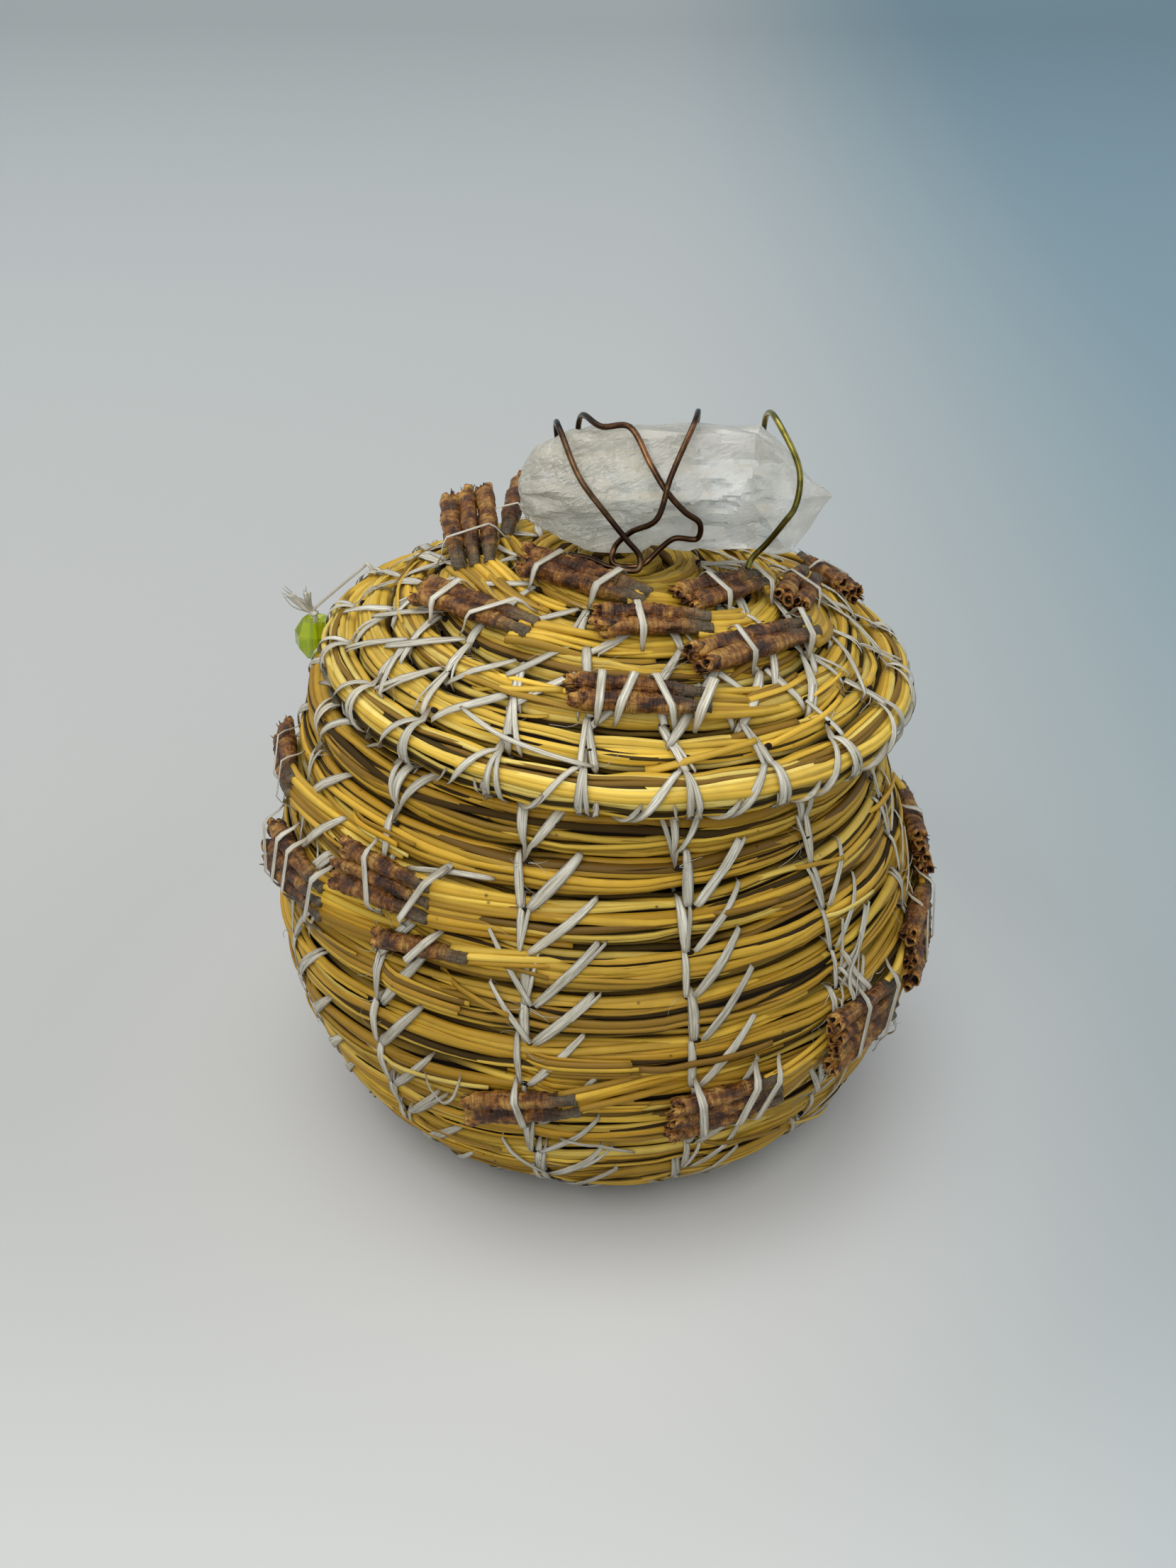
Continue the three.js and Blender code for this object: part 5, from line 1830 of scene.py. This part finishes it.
LID_CAPS = [
    CapGroup("caps_lid_left", LID_COIL, 216, 2.7, rows=3.5, skew=14.5, bands=((0.26, -1.5), (0.68, -7.3))),
    CapGroup("caps_lid_crown", LID_COIL, 245, 0.6, rows=3.2, skew=-3, bands=((0.22, -2.2), (0.7, -2.0))),
    CapGroup("caps_lid_crown_right", LID_COIL, 331, 1.15, rows=2.7, skew=-15,
             bands=((0.4, -0.6), (0.92, -0.9))),
    CapGroup("caps_lid_front", LID_COIL, 284.3, 1.8, rows=2.6, skew=-6, bands=((0.37, 0.4),)),
    CapGroup("caps_lid_front_right", LID_COIL, 316.4, 2.7, rows=3.6, skew=-4.5,
             bands=((0.38, -1.0), (0.9, -3.0))),
    CapGroup("caps_lid_front_low", LID_COIL, 275.3, 3.8, rows=3.05, skew=-3,
             bands=((0.22, -0.8), (0.41, -3.1), (0.66, 3.2), (0.97, -3.1))),
    CapGroup("caps_lid_right", LID_COIL, 3.5, 2.6, rows=2.5, skew=-22),
    CapGroup("caps_lid_right_low", LID_COIL, 30, 4.35, rows=2.3, skew=-8),
    CapGroup("caps_lid_back_left", LID_COIL, 161.4, 1.55, 3, 3.1, skew=22, lift=3, tuck=0.8,
             bands=((0.75, 1.0),)),
    CapGroup("caps_lid_back", LID_COIL, 135.6, 1.4, 1, 2.8, skew=36, lift=3, tuck=0.7, bands=((0.75, 1.0),)),
    CapGroup("caps_lid_back_right", LID_COIL, 60, 3.2),
]
# Needles that end together: distance along the outline, angle, length and number.
CUT_NEEDLES = (
    (64.0, 255.0, 17.0, 9), (60.5, 262.0, 12.0, 5), (84.0, 300.0, 13.0, 3), (72.0, 228.0, 15.0, 4),
    (90.0, 218.0, 12.0, 3), (57.0, 288.0, 16.0, 4),
)
# Loose sinew: its width, then distance along the outline, angle and height of some places.
BODY_FLOATS = [
    (0.9, (87.4, 235.8, 0.3), (89.3, 246.0, 0.4), (89.9, 253.4, 0.2)),
    (0.8, (53.1, 263.7, 0.2), (51.0, 270.0, 0.4), (48.7, 276.6, 0.2)),
    (0.5, (60.5, 241.2, 0.3), (56.8, 243.9, 1.2), (58.8, 246.8, 1.0), (61.8, 248.0, 0.3)),
    (1.0, (74.9, 316.1, 0.2), (68.7, 320.1, 0.6), (61.8, 326.3, 0.4)),
    (0.7, (76.0, 322.0, 0.3), (70.0, 317.0, 0.8), (63.0, 319.0, 0.6), (58.0, 325.0, 0.3)),
    (0.6, (64.3, 325.6, 0.3), (57.5, 332.0, 1.6), (53.7, 334.0, 1.8), (48.1, 335.0, 0.4)),
    (0.7, (83.0, 212.0, 0.2), (76.5, 215.0, 0.6), (70.0, 213.0, 0.3)),
]
LID_FLOAT = (0.8, (36.0, 235.8, 0.4), (37.6, 245.3, 0.6), (38.6, 256, 0.5), (39.3, 265.7, 0.2))

# Places of the corners between two edges of the crystal, close together at the edges.
FACE_SPOTS = (0, 0.03, 0.08, 0.14, 0.2, 0.27, 0.34, 0.42, 0.5, 0.58, 0.66, 0.73, 0.8, 0.86, 0.92, 0.97)
# Middles of the healed cracks, from the middle of the axis.
VEILS = (
    (-6.5, -1.2, 1.0), (-3.5, 1.5, -2.5), (-1.5, -1.0, 2.5), (2.0, -1.5, -2.5), (4.5, 0.0, 2.0),
    (8.0, 1.0, -0.5), (12, -0.5, -1.5), (14.5, 0.5, 2.0), (18.5, 0.8, 1.0), (21.5, 0, -1.0),
)
# The knot's tails, and tufts of fibres: their way, how far they spread and their number.
KNOT_TAILS = (
    ((0, 0, 0), (-1.5, -0.3, 1.1), (-3.6, -0.5, 3.5)),
    ((0, 0, 0), (-0.7, -0.2, 1.6), (-0.9, -0.4, 3.9)),
)
TUFTS = (((-3.4, -0.5, 3.4), 0.5, 7), ((-0.9, -0.4, 3.9), 0.4, 5), ((0, -0.2, -3.0), 0.6, 8))


@dataclass
class CoiledPart:
    """What the basket and the lid share: rows of needles, an edge, caps and stitches.

    Args:
        materials: The basket's materials.
        body: Body that it rides on.
        word: What its pieces are called after.
        coil: Its coil.
        loose: How many needles come out of its rows by chance.
        slant, inside_slant: How far slanting stitches go round on each side, in millimetres.
    """

    materials: Materials
    body: str
    word: str
    coil: Coil
    loose: int
    slant: float
    inside_slant: float

    @property
    def needles(self) -> bpy.types.Material:
        """Its needles' material."""
        return self.materials.lid_needles if self.body == "lid" else self.materials.body_needles

    def rows(self, bundle: NeedleBundle, start_slot: str) -> None:
        """Makes the coil's start and each of its turns.

        Args:
            bundle: The coil's needles.
            start_slot: Slot of the start.
        """
        for turn in range(-1, self.coil.turns):
            node = f"{self.word}_start" if turn < 0 else f"{self.word}_coil_{turn + 1:02d}"
            slot = start_slot if turn < 0 else "needles"
            bundle.row(turn).dress("needles_" + node, self.needles, self.body, slot, node)

    def caps(self, groups: list[CapGroup]) -> None:
        """Makes the caps, the needles that come out of them and the sinew across them."""
        needles, bands = MeshParts(), MeshParts()
        for group in groups:
            parts = MeshParts()
            for index in range(group.count):
                group.cap(index, parts)
            parts.dress("torn_" + group.name, self.materials.caps, self.body, "caps", group.name)
            group.needle_ends(needles)
            group.bind(bands)
        needles.dress(f"{self.body}_cap_needles", self.needles, self.body, "needles")
        bands.dress(f"{self.body}_cap_bands", self.materials.sinew, self.body, "sinew")

    def sewn(self, outside: Stitching, inside: Stitching) -> None:
        """Makes the stitches on both sides of the wall, and the holes that they come out of.

        Args:
            outside: What is sewn on the outside.
            inside: The backs of the stitches, not yet sewn.
        """
        name, sinew = f"stitches_{self.word}", self.materials.sinew
        outside.parts.dress(name, sinew, self.body, "sinew", f"{self.word}_sinew")
        outside.holes.dress(f"stitch_holes_{self.word}", self.needles, self.body, "needles")
        inside.sew().dress(name + "_inside", sinew, self.body, "sinew")


@dataclass
class BasketBody(CoiledPart):
    """The basket: its coil of needles, its caps and the sinew that binds it."""

    body: str = "basket"
    word: str = "body"
    coil: Coil = field(default_factory=make_body_coil)
    loose: int = 60
    slant: float = 7.3
    inside_slant: float = -8.0

    def build(self) -> None:
        """Makes every piece of the basket."""
        bundle = NeedleBundle(self.coil, 11, (0.28, 0.92))
        self.rows(bundle, "inner_needles")
        mouth = NeedleBundle(self.coil, 12, (0.2, 0.8), periodic=True).round()
        mouth.dress("needles_body_mouth", self.needles, "basket", "needles", "body_mouth_round")
        loose = bundle.loose_ends(self.loose, CUT_NEEDLES)
        loose.dress("loose_needles_body", self.needles, "basket", "needles")
        self.caps(BODY_CAPS)
        first = np.full(BODY_COLUMNS, 0.3 * FOOT_RADIUS)
        outside = Stitching(self.coil, Side.OUTSIDE, first, self.slant, 21, slack=1.4, both_ways=0.12)
        outside.sew()
        for line in BODY_FLOATS:
            outside.loose(*line)
        outside.net((50, 72), 318, 5, 11)
        knotted = outside.rng.uniform((52, 312 * DEGREE), (68, 325 * DEGREE), (90, 2))
        outside.fray(knotted[:, 0], knotted[:, 1], 90)
        self.sewn(outside, Stitching(self.coil, Side.INSIDE, first, self.inside_slant, 22))


@dataclass
class Lid(CoiledPart):
    """The lid: its coil, the rounds that keep it in the mouth, its caps and its sinew."""

    body: str = "lid"
    word: str = "lid"
    coil: Coil = field(default_factory=make_lid_coil)
    loose: int = 30
    slant: float = -7.0
    inside_slant: float = 7.0

    def build(self) -> None:
        """Makes every piece of the lid but the crystal, its wires and the bead."""
        order = {"broad": 10, "fine": 9, "dark": 7, "disorder": 0.62, "coarse": 1.08}
        bundle = NeedleBundle(self.coil, 31, (0.42, 1.0), **order)
        self.rows(bundle, "needles")
        rim = NeedleBundle(self.coil, 32, (0.42, 1.0), periodic=True, **order).round()
        rim.dress("needles_lid_rim", self.needles, "lid", "needles", "lid_rim_round")
        self.seat()
        bundle.loose_ends(self.loose).dress("loose_needles_lid", self.needles, "lid", "needles")
        self.caps(LID_CAPS)
        first = np.where(np.arange(LID_COLUMNS) % 2, 0.58, 0.3) * LID_RADIUS
        outside = Stitching(self.coil, Side.OUTSIDE, first, self.slant, 41, both_ways=0.3)
        outside.sew()
        outside.loose(*LID_FLOAT)
        self.sewn(outside, Stitching(self.coil, Side.INSIDE, first, self.inside_slant, 42))

    def seat(self) -> None:
        """The rounds under the lid, as short coils of their own that hang straight down."""
        shoulder = LID_RISE * (1 - ((SEAT_RADIUS + SEAT_DEPTH / 2) / LID_RADIUS) ** 2)
        top = LID_RIM_HEIGHT + shoulder - LID_DEPTH / 2 - 2 * CLEARANCE
        for number in range(2):
            middle = top - (number + 0.5) * SEAT_HEIGHT
            outline = [(SEAT_RADIUS, middle - 3 * SEAT_HEIGHT / 2), (SEAT_RADIUS, middle)]
            ring = Coil(outline, 0, SEAT_DEPTH, 1, Lie.SEAT)
            ring.pitch, ring.last_groove = SEAT_HEIGHT, ring.length - SEAT_HEIGHT / 2
            ring.columns = LID_COIL.columns[::2] + 0.1 * number
            needles = NeedleBundle(ring, 51 + number, (0.2, 0.8), periodic=True).round()
            name, node = f"needles_lid_seat_{number + 1}", f"lid_seat_round_{number + 1}"
            needles.dress(name, self.materials.inner_needles, "lid", "inner_needles", node)


@dataclass
class Crystal:
    """The quartz point: six long faces, a worn end on the left, a point on the right.

    Args:
        materials: The basket's materials.
        left: Place of the worn end.
        tip_drop: How far the point lies under the axis.
        corners: The six edges' places across it, as shares of its half depth.
        stations: Shares of the length, and the crystal's size there.
        shoulders: Share of the length at which each edge turns to the point.
        end_chips, side_chips: How many flat chips are cut off its worn end and off its sides.
    """

    materials: Materials
    left: float = -12.6
    tip_drop: float = 1.6
    corners: tuple = ((-0.62, -1.18), (-1, 0.1), (-0.36, 1.2), (0.5, 1.12), (1.02, 0.12), (0.55, -1.16))
    stations: tuple = ((0, 0.36), (0.04, 0.6), (0.12, 0.82), (0.22, 0.96), (0.5, 1))
    shoulders: tuple = (0.87, 0.73, 0.745, 0.77, 0.82, 0.88)
    end_chips: int = 22
    side_chips: int = 12

    @property
    def middle(self) -> float:
        """Height of the crystal's axis."""
        return CROWN_TOP + CLEARANCE + 0.4 + 1.19 * CRYSTAL_HALF_DEPTH

    def on_edge(self, at: float, corner: int, size: float | None = None) -> Array:
        """Point of an edge of the crystal, at a share of its length."""
        y, z = self.corners[corner % 6]
        if size is None:
            size = float(np.interp(at, *zip(*self.stations)))
        reach = CRYSTAL_HALF_DEPTH * size
        return np.array([self.left + at * CRYSTAL_LENGTH, y * reach, self.middle + z * reach])

    def off_face(self, at: float, face: int, share: float, off: float) -> Array:
        """Point off a long face, at a share of the way from its first edge to its next."""
        start, end = self.on_edge(at, face), self.on_edge(at, face + 1)
        across = unit(end - start)
        return start + (end - start) * share + off * np.array([0, -across[2], across[1]])

    def off_edge(self, at: float, edge: int, off: float) -> Array:
        """Point off an edge of the crystal."""
        point = self.on_edge(at, edge)
        return point + off * unit(np.array([0, point[1], point[2] - self.middle]))

    def rings(self) -> Array:
        """Corners of every ring from the worn end to the point, as ring, corner, coordinate."""
        rings = [[self.on_edge(at, corner) for corner in range(6)] for at, _ in self.stations]
        rings.append([self.on_edge(self.shoulders[corner], corner) for corner in range(6)])
        drop = np.array([0, 0, self.tip_drop])
        rings.append([self.on_edge(1, corner, 0.03) - drop for corner in range(6)])
        return np.array(rings)

    def faces(self) -> tuple[Array, Array]:
        """The crystal as straight faces, its edges rounded a little by a mean of neighbours.

        Returns:
            Points as ring, side and coordinate, and each ring's place between the main ones.
        """
        rings = self.rings()
        steps = np.linspace(0, 1, 17)[:-1]
        share = np.append((np.arange(len(rings) - 1)[:, None] + steps).ravel(), len(rings) - 1)
        whole = np.minimum(share.astype(int), len(rings) - 2)
        part = (share - whole)[:, None, None]
        lines = (rings[whole] * (1 - part) + rings[whole + 1] * part)[:, :, None]
        spots = np.array(FACE_SPOTS)[:, None]
        grid = (lines * (1 - spots) + np.roll(lines, -1, axis=1) * spots).reshape(len(share), -1, 3)
        return 0.5 * grid + 0.25 * (np.roll(grid, 1, axis=1) + np.roll(grid, -1, axis=1)), share

    def surface(self) -> MeshParts:
        """The crystal's skin: its faces dented by waves, worn at the left end, with a ledge that
        rises to the right where the large fracture comes out, and cut back to chips."""
        grid, share = self.faces()
        x, y, z = grid[..., 0], grid[..., 1], grid[..., 2]
        worn = 1 - smooth_step(-9, 8, x)
        dents = np.sin(0.9 * x + 1.3 * y) * np.sin(1.1 * z - 0.6 * y)
        dents = dents + 0.5 * np.sin(2.3 * y + 1.9 * z + x)
        outward = unit(grid - joined(x, 0.0, self.middle) + 1e-6)
        broad = np.sin(0.31 * x + 0.5 * y + 0.4 * z) * np.sin(0.62 * z - 0.23 * x + 0.4)
        chips = np.sin(0.55 * x - 0.9 * z + 0.3 * y) * np.sin(0.8 * y + 0.37 * x + z)
        chips = smooth_step(0.25, 0.6, chips) * (1 - smooth_step(20, 24, x))
        inward = (0.5 + 0.5 * broad) * 0.7 + 0.4 * chips
        grid = grid + (0.34 * worn * dents - 0.1 * worn - inward)[..., None] * outward
        ledge = 0.23 * (x - 7) - 1 + 0.3 * np.sin(2.1 * x) + 0.18 * np.sin(5.3 * x)
        below = smooth_step(0.25, -0.25, z - self.middle - ledge) * (y < 0)
        below = below * (smooth_step(4, 6, x) - smooth_step(19, 23, x))
        parts = MeshParts()
        parts.add_tubes(self.chipped(grid - (0.6 * below)[..., None] * outward)[None], share * 6)
        return parts

    def chipped(self, grid: Array) -> Array:
        """Points cut back to flat chips, most of them on the worn end.

        Args:
            grid: Points of the skin.

        Returns:
            The points; what lies beyond a chip's plane is moved straight on to it. A plane faces
            a random way and lies a little inside the outermost point on that side.
        """
        rng = np.random.default_rng(6)
        facing = rng.normal(0, 1, (self.end_chips + self.side_chips, 3))
        ends, sides = facing[: self.end_chips], facing[self.end_chips :]
        ends[:, 0] = -np.abs(ends[:, 0]) - 0.1
        sides[:, 0] *= 0.25
        depth = [rng.uniform(0.15, 0.6, self.end_chips), rng.uniform(0.15, 0.4, self.side_chips)]
        for way, deep in zip(unit(facing), np.concatenate(depth)):
            level = grid @ way
            beyond = np.maximum(level - (level.max() - deep), 0)
            grid = grid - beyond[..., None] * way
        return grid

    def veils(self) -> MeshParts:
        """Healed cracks inside: thin lenses, flat balls whose edge is bent by waves."""
        rng = np.random.default_rng(5)
        parts = MeshParts()
        around, rise = circle(16), np.linspace(-1, 1, 9)[:, None] * np.pi / 2
        for number, (x, y, z) in enumerate(VEILS):
            radius = rng.uniform(2.6, 3.9) * (1 + 0.18 * np.sin(3 * around + number))
            wave = 0.09 * np.sin(rise) + 0.25 * np.sin(1.3 * around) * np.cos(rise)
            level = radius * np.cos(rise)
            flat = joined(level * np.cos(around), level * np.sin(around), wave)
            tilted = Matrix.Rotation(rng.uniform(0.4, 1.3), 3, "Y")
            turned = tilted @ Matrix.Rotation(rng.uniform(0, 3), 3, "Z")
            points = flat @ np.array(turned).T + np.array([x, y, z + self.middle])
            parts.add_tubes(points[None], np.arange(9.0))
        return parts

    def build(self) -> None:
        """Makes the crystal and the veils in it."""
        skin = self.surface().dress("quartz_point", self.materials.quartz, "lid", "quartz", "crystal")
        skin.data.set_sharp_from_angle(angle=17 * DEGREE)
        self.veils().dress("quartz_veils", self.materials.veil, "lid", "quartz")


@dataclass
class Wires:
    """The three wires that hold the crystal down on the crown."""

    crystal: Crystal
    materials: Materials

    def on_lid(self, at: float, beside: float, rise: float = 0.0) -> Array:
        """Middle of a wire on the lid, at shares of the crystal's length and depth, or above it."""
        x, y = self.crystal.left + at * CRYSTAL_LENGTH, beside * CRYSTAL_HALF_DEPTH
        away = math.hypot(x - LID_SHIFT, y)
        drop = 0 if away < 1.6 * LID_COIL.pitch else LID_RISE * (away / LID_RADIUS) ** 2
        return np.array([x, y, CROWN_TOP - drop + TILT * x + WIRE_RADIUS + 1.4 * CLEARANCE + rise])

    def wire(self, name: str, material: bpy.types.Material, slot: str, node: str, *points: Array) -> None:
        """Makes one wire: a round tube through its points, a little flattened by the pliers."""
        path = curve_through(np.array(points), 9, weighed=True)
        length = np.concatenate([[0], np.cumsum(np.linalg.norm(np.diff(path, axis=0), axis=1))])
        parts = MeshParts()
        parts.add_tubes(tube_grid(path, np.full(len(path), WIRE_RADIUS), 12, 0.94)[None], length)
        parts.dress(name, material, "lid", slot, node)

    def build(self) -> None:
        """Bends the three wires over the crystal's faces and edges and down to the lid."""
        near = WIRE_RADIUS + 1.7 * CLEARANCE
        over = near + 2 * WIRE_RADIUS + CLEARANCE
        face, edge, lid = self.crystal.off_face, self.crystal.off_edge, self.on_lid
        lower, upper = 0, 1
        self.wire(
            "bent_wire_hook", self.materials.bronze, "bronze", "bronze_wire_hook",
            lid(0.155, 1.32), edge(0.13, 4, near), edge(0.12, 3, near), edge(0.14, 2, near),
            face(0.2, upper, 0.3, near + 0.3), face(0.29, lower, 0.8, near + 0.3),
            face(0.35, lower, 0.45, over), face(0.39, lower, 0.22, over + 0.6), lid(0.386, -1.17),
            lid(0.308, -1.17), lid(0.226, -0.8), lid(0.165, -0.7),
        )
        self.wire(
            "bent_wire_loop", self.materials.copper, "bronze", "bronze_wire_loop",
            lid(0.579, 1.32), edge(0.56, 4, near), edge(0.57, 3, near), edge(0.55, 2, near + 0.2),
            face(0.48, upper, 0.3, over), face(0.44, lower, 0.85, over), face(0.36, lower, 0.5, near),
            face(0.31, lower, 0.2, near), lid(0.306, -0.96), lid(0.395, -0.96),
            face(0.46, lower, 0.28, near + 0.3), face(0.5, lower, 0.42, near), face(0.57, lower, 0.42, near),
            face(0.575, lower, 0.7, near), face(0.53, lower, 0.88, near), face(0.47, upper, 0.12, near),
            face(0.42, upper, 0.5, near), edge(0.35, 2, near), edge(0.27, 2, near), edge(0.2, 3, near),
            edge(0.19, 4, near), lid(0.221, 1.32),
        )
        self.wire(
            "bent_brass_wire", self.materials.brass, "brass", "brass_wire_loop",
            lid(0.72, 1.32), edge(0.78, 4, near + 0.6), edge(0.79, 3, near), edge(0.82, 2, near),
            face(0.88, upper, 0.45, near - 0.4), face(0.87, lower, 0.98, near - 0.5),
            face(0.835, lower, 0.7, near), face(0.79, lower, 0.35, near),
            face(0.745, lower, 0.08, near + 0.3), lid(0.735, -0.84, 3.2),
        )


@dataclass
class Bead:
    """The green bead and the knotted end of sinew that it is strung on."""

    materials: Materials
    angle: float = 158.5 * DEGREE
    knot_angle: float = 155 * DEGREE

    def build(self) -> None:
        """Gives the bead its glass and makes its thread, with two tails and a frayed tuft."""
        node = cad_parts["bead"]
        node.data.materials.clear()
        node.data.materials.append(self.materials.bead)
        out = BODY_DEPTH / 2 + CLEARANCE + BEAD_RADIUS
        x, y, middle = BODY_COIL.point(BODY_COIL.length - 0.7 * BODY_COIL.pitch, out, self.angle)
        inside, rim = (
            LID_COIL.point(LID_COIL.length, LID_DEPTH / 2 + off, self.knot_angle)
            for off in (-1.2, 0.6 + THREAD_RADIUS)
        )
        heights = middle + BEAD_RADIUS * np.array([1.45, 1.2, 1])
        stop = middle - 0.94 * BEAD_RADIUS - CLEARANCE
        axis = joined(x, y, np.append(heights, stop - np.array([0, 0.4, 1.4, 2])))
        knot, below = axis[1], np.array([x, y, stop - 1.6])
        stops = np.vstack([inside, rim, rim + (-1.4, 0.4, -1.2), axis])
        sizes = THREAD_RADIUS * np.array([0.6, 0.8, 0.55, 0.6, 1.6, 1, 1, 2.7, 2.7, 1.2])
        parts = MeshParts()
        self.thread(stops, sizes, parts)
        paths = np.array([curve_through(knot + np.array(tail), 6)[:12] for tail in KNOT_TAILS])
        ribbons = flat_grid(paths, np.linspace(0.2, 0.62, 12), np.array([0.1, -1, 0.3]))
        parts.add_tubes(ribbons, np.arange(12.0), (0.0, 1.0, 0.0))
        rng = np.random.default_rng(9)
        for start, way, spread, number in zip((knot, knot, below), *zip(*TUFTS)):
            for _ in range(number):
                end = start + np.array(way) * rng.uniform(0.8, 1.25) + rng.normal(0, spread, 3)
                bend = start + (end - start) * 0.5 + rng.normal(0, 0.4, 3)
                self.thread(np.array([start, bend, end]), np.array([0.16, 0.12, 0.05]), parts, 4)
        parts.dress("knotted_thread", self.materials.sinew, "lid", "sinew", "bead_thread")

    def thread(self, stops: Array, radii: Array, parts: MeshParts, sides: int = 10) -> None:
        """Adds a round thread through some points.

        Args:
            stops: The points.
            radii: Radius at each of them.
            parts: What it is added to.
            sides: Points on its section.
        """
        path = curve_through(stops, 8)
        spans = np.linspace(0, len(stops) - 1, len(path))
        grid = tube_grid(path, np.interp(spans, np.arange(len(stops)), radii), sides)
        parts.add_tubes(grid[None], spans * 3, (0.05, 0.9, 0.0))


# Each lamp's place and what it faces, in metres, its size, power and colour.
LAMPS = (
    ("top_light", (-0.2, 0.06, 0.8), (0, 0, 0.05), 1.1, 5.4, (1.0, 0.985, 0.96)),
    ("front_light", (-0.2, -0.85, 0.6), (0, 0, 0.04), 0.8, 3.5, (1.0, 0.98, 0.95)),
    ("side_light", (0.75, 0.1, 0.45), (0, 0, 0.05), 0.6, 0.7, (0.95, 0.98, 1.0)),
)


@dataclass
class Studio:
    """The ground, the lights and the camera at the photograph's place.

    Args:
        materials: The basket's materials.
        focal, image_height: The camera's focal length and the picture's height, in pixels.
        back, height: How far the camera stands before the basket's middle and over the ground.
        pitch, yaw, roll: How it is turned, in radians.
        slab_side, slab_front: How far the ground goes to both sides, and to the front.
        wall_curve, wall_top: Radius of its curve up to the wall, and the wall's height.
        slab_depth: Its thickness.
    """

    materials: Materials
    focal: float = 2800.0
    image_height: float = 2212.0
    back: float = 251.5
    height: float = 198.75
    pitch: float = 0.536
    yaw: float = -0.011
    roll: float = 0.008
    slab_side: float = 1500.0
    slab_front: float = 900.0
    wall_curve: float = 500.0
    wall_top: float = 1800.0
    slab_depth: float = 4.0

    def ground(self) -> None:
        """A slab that is flat under the basket and curves up far behind it."""
        parts = MeshParts()
        across = np.linspace(-self.slab_side, self.slab_side, 13)
        curve, flat = np.linspace(0.1, np.pi / 2, 12), np.linspace(-self.slab_front, self.slab_front, 10)
        wall = self.slab_front + self.wall_curve
        run = np.concatenate([flat, self.slab_front + self.wall_curve * np.sin(curve), [wall]])
        rise = np.concatenate([0 * flat, self.wall_curve * (1 - np.cos(curve)), [self.wall_top]])
        top = joined(across[:, None], run, rise)
        under = top + np.array([0, self.slab_depth, -self.slab_depth])
        ring = np.concatenate([top, under[:, ::-1]], axis=1)
        parts.add_tubes(ring[None], across)
        parts.build("ground", self.materials.ground)

    def lamp(self, name: str, place: tuple, target: tuple, size: float, power: float, tint: Colour) -> None:
        """A square soft light.

        Args:
            name: Its name.
            place: Its place in metres.
            target: The point that it faces.
            size: Side of the square.
            power: Strength in watts.
            tint: Colour of its light.
        """
        light = bpy.data.lights.new(name, "AREA")
        light.size, light.energy, light.color = size, power, tint
        lamp = bpy.data.objects.new(name, light)
        bpy.context.scene.collection.objects.link(lamp)
        way = Vector(target) - Vector(place)
        lamp.location = place
        lamp.rotation_mode = "QUATERNION"
        lamp.rotation_quaternion = way.to_track_quat("-Z", "Y")

    def lights(self) -> None:
        """A broad light from above and behind, a soft one from the front, and a pale world."""
        for lamp in LAMPS:
            self.lamp(*lamp)
        world = bpy.data.worlds.new("pale_room")
        world.use_nodes = True
        background = world.node_tree.nodes["Background"]
        background.inputs[0].default_value = (0.86, 0.90, 0.93, 1)
        graph = Graph(world.node_tree)
        rays = graph.add("LightPath").outputs
        seen = graph.math("ADD", rays["Is Camera Ray"], rays["Is Glossy Ray"])
        seen = graph.math("ADD", seen, rays["Is Transmission Ray"])
        world.node_tree.links.new(graph.spread(seen, 0, 1, 0.74, 0.78), background.inputs[1])
        bpy.context.scene.world = world

    def camera(self) -> None:
        """The camera, turned and set back as the photograph's was."""
        cos, sin = math.cos, math.sin
        ahead = np.array([sin(self.yaw) * cos(self.pitch), cos(self.yaw) * cos(self.pitch), -sin(self.pitch)])
        right = np.array([cos(self.yaw), -sin(self.yaw), 0.0])
        up = np.cross(right, ahead)
        right, up = cos(self.roll) * right + sin(self.roll) * up, cos(self.roll) * up - sin(self.roll) * right
        data = bpy.data.cameras.new("photo_view")
        data.lens = self.focal / self.image_height * data.sensor_width
        data.clip_start, data.clip_end = 0.01, 20
        camera = bpy.data.objects.new("photo_view", data)
        bpy.context.scene.collection.objects.link(camera)
        axes = Matrix(np.stack([right, up, -ahead], axis=1).tolist()).to_4x4()
        camera.matrix_world = Matrix.Translation((0, -self.back * MM, self.height * MM)) @ axes
        bpy.context.scene.camera = camera

    def build(self) -> None:
        """Makes the studio and sets how colours are shown."""
        self.ground()
        self.lights()
        self.camera()
        bpy.context.scene.view_settings.view_transform = "Standard"


def main() -> None:
    """Builds the basket from the foot up, then the studio round it."""
    logging.basicConfig(level=logging.INFO, format="%(name)s: %(message)s")
    materials = Materials()
    Studio(materials).build()
    BasketBody(materials).build()
    Lid(materials).build()
    crystal = Crystal(materials)
    crystal.build()
    Wires(crystal, materials).build()
    Bead(materials).build()


if __name__ == "__main__":
    main()
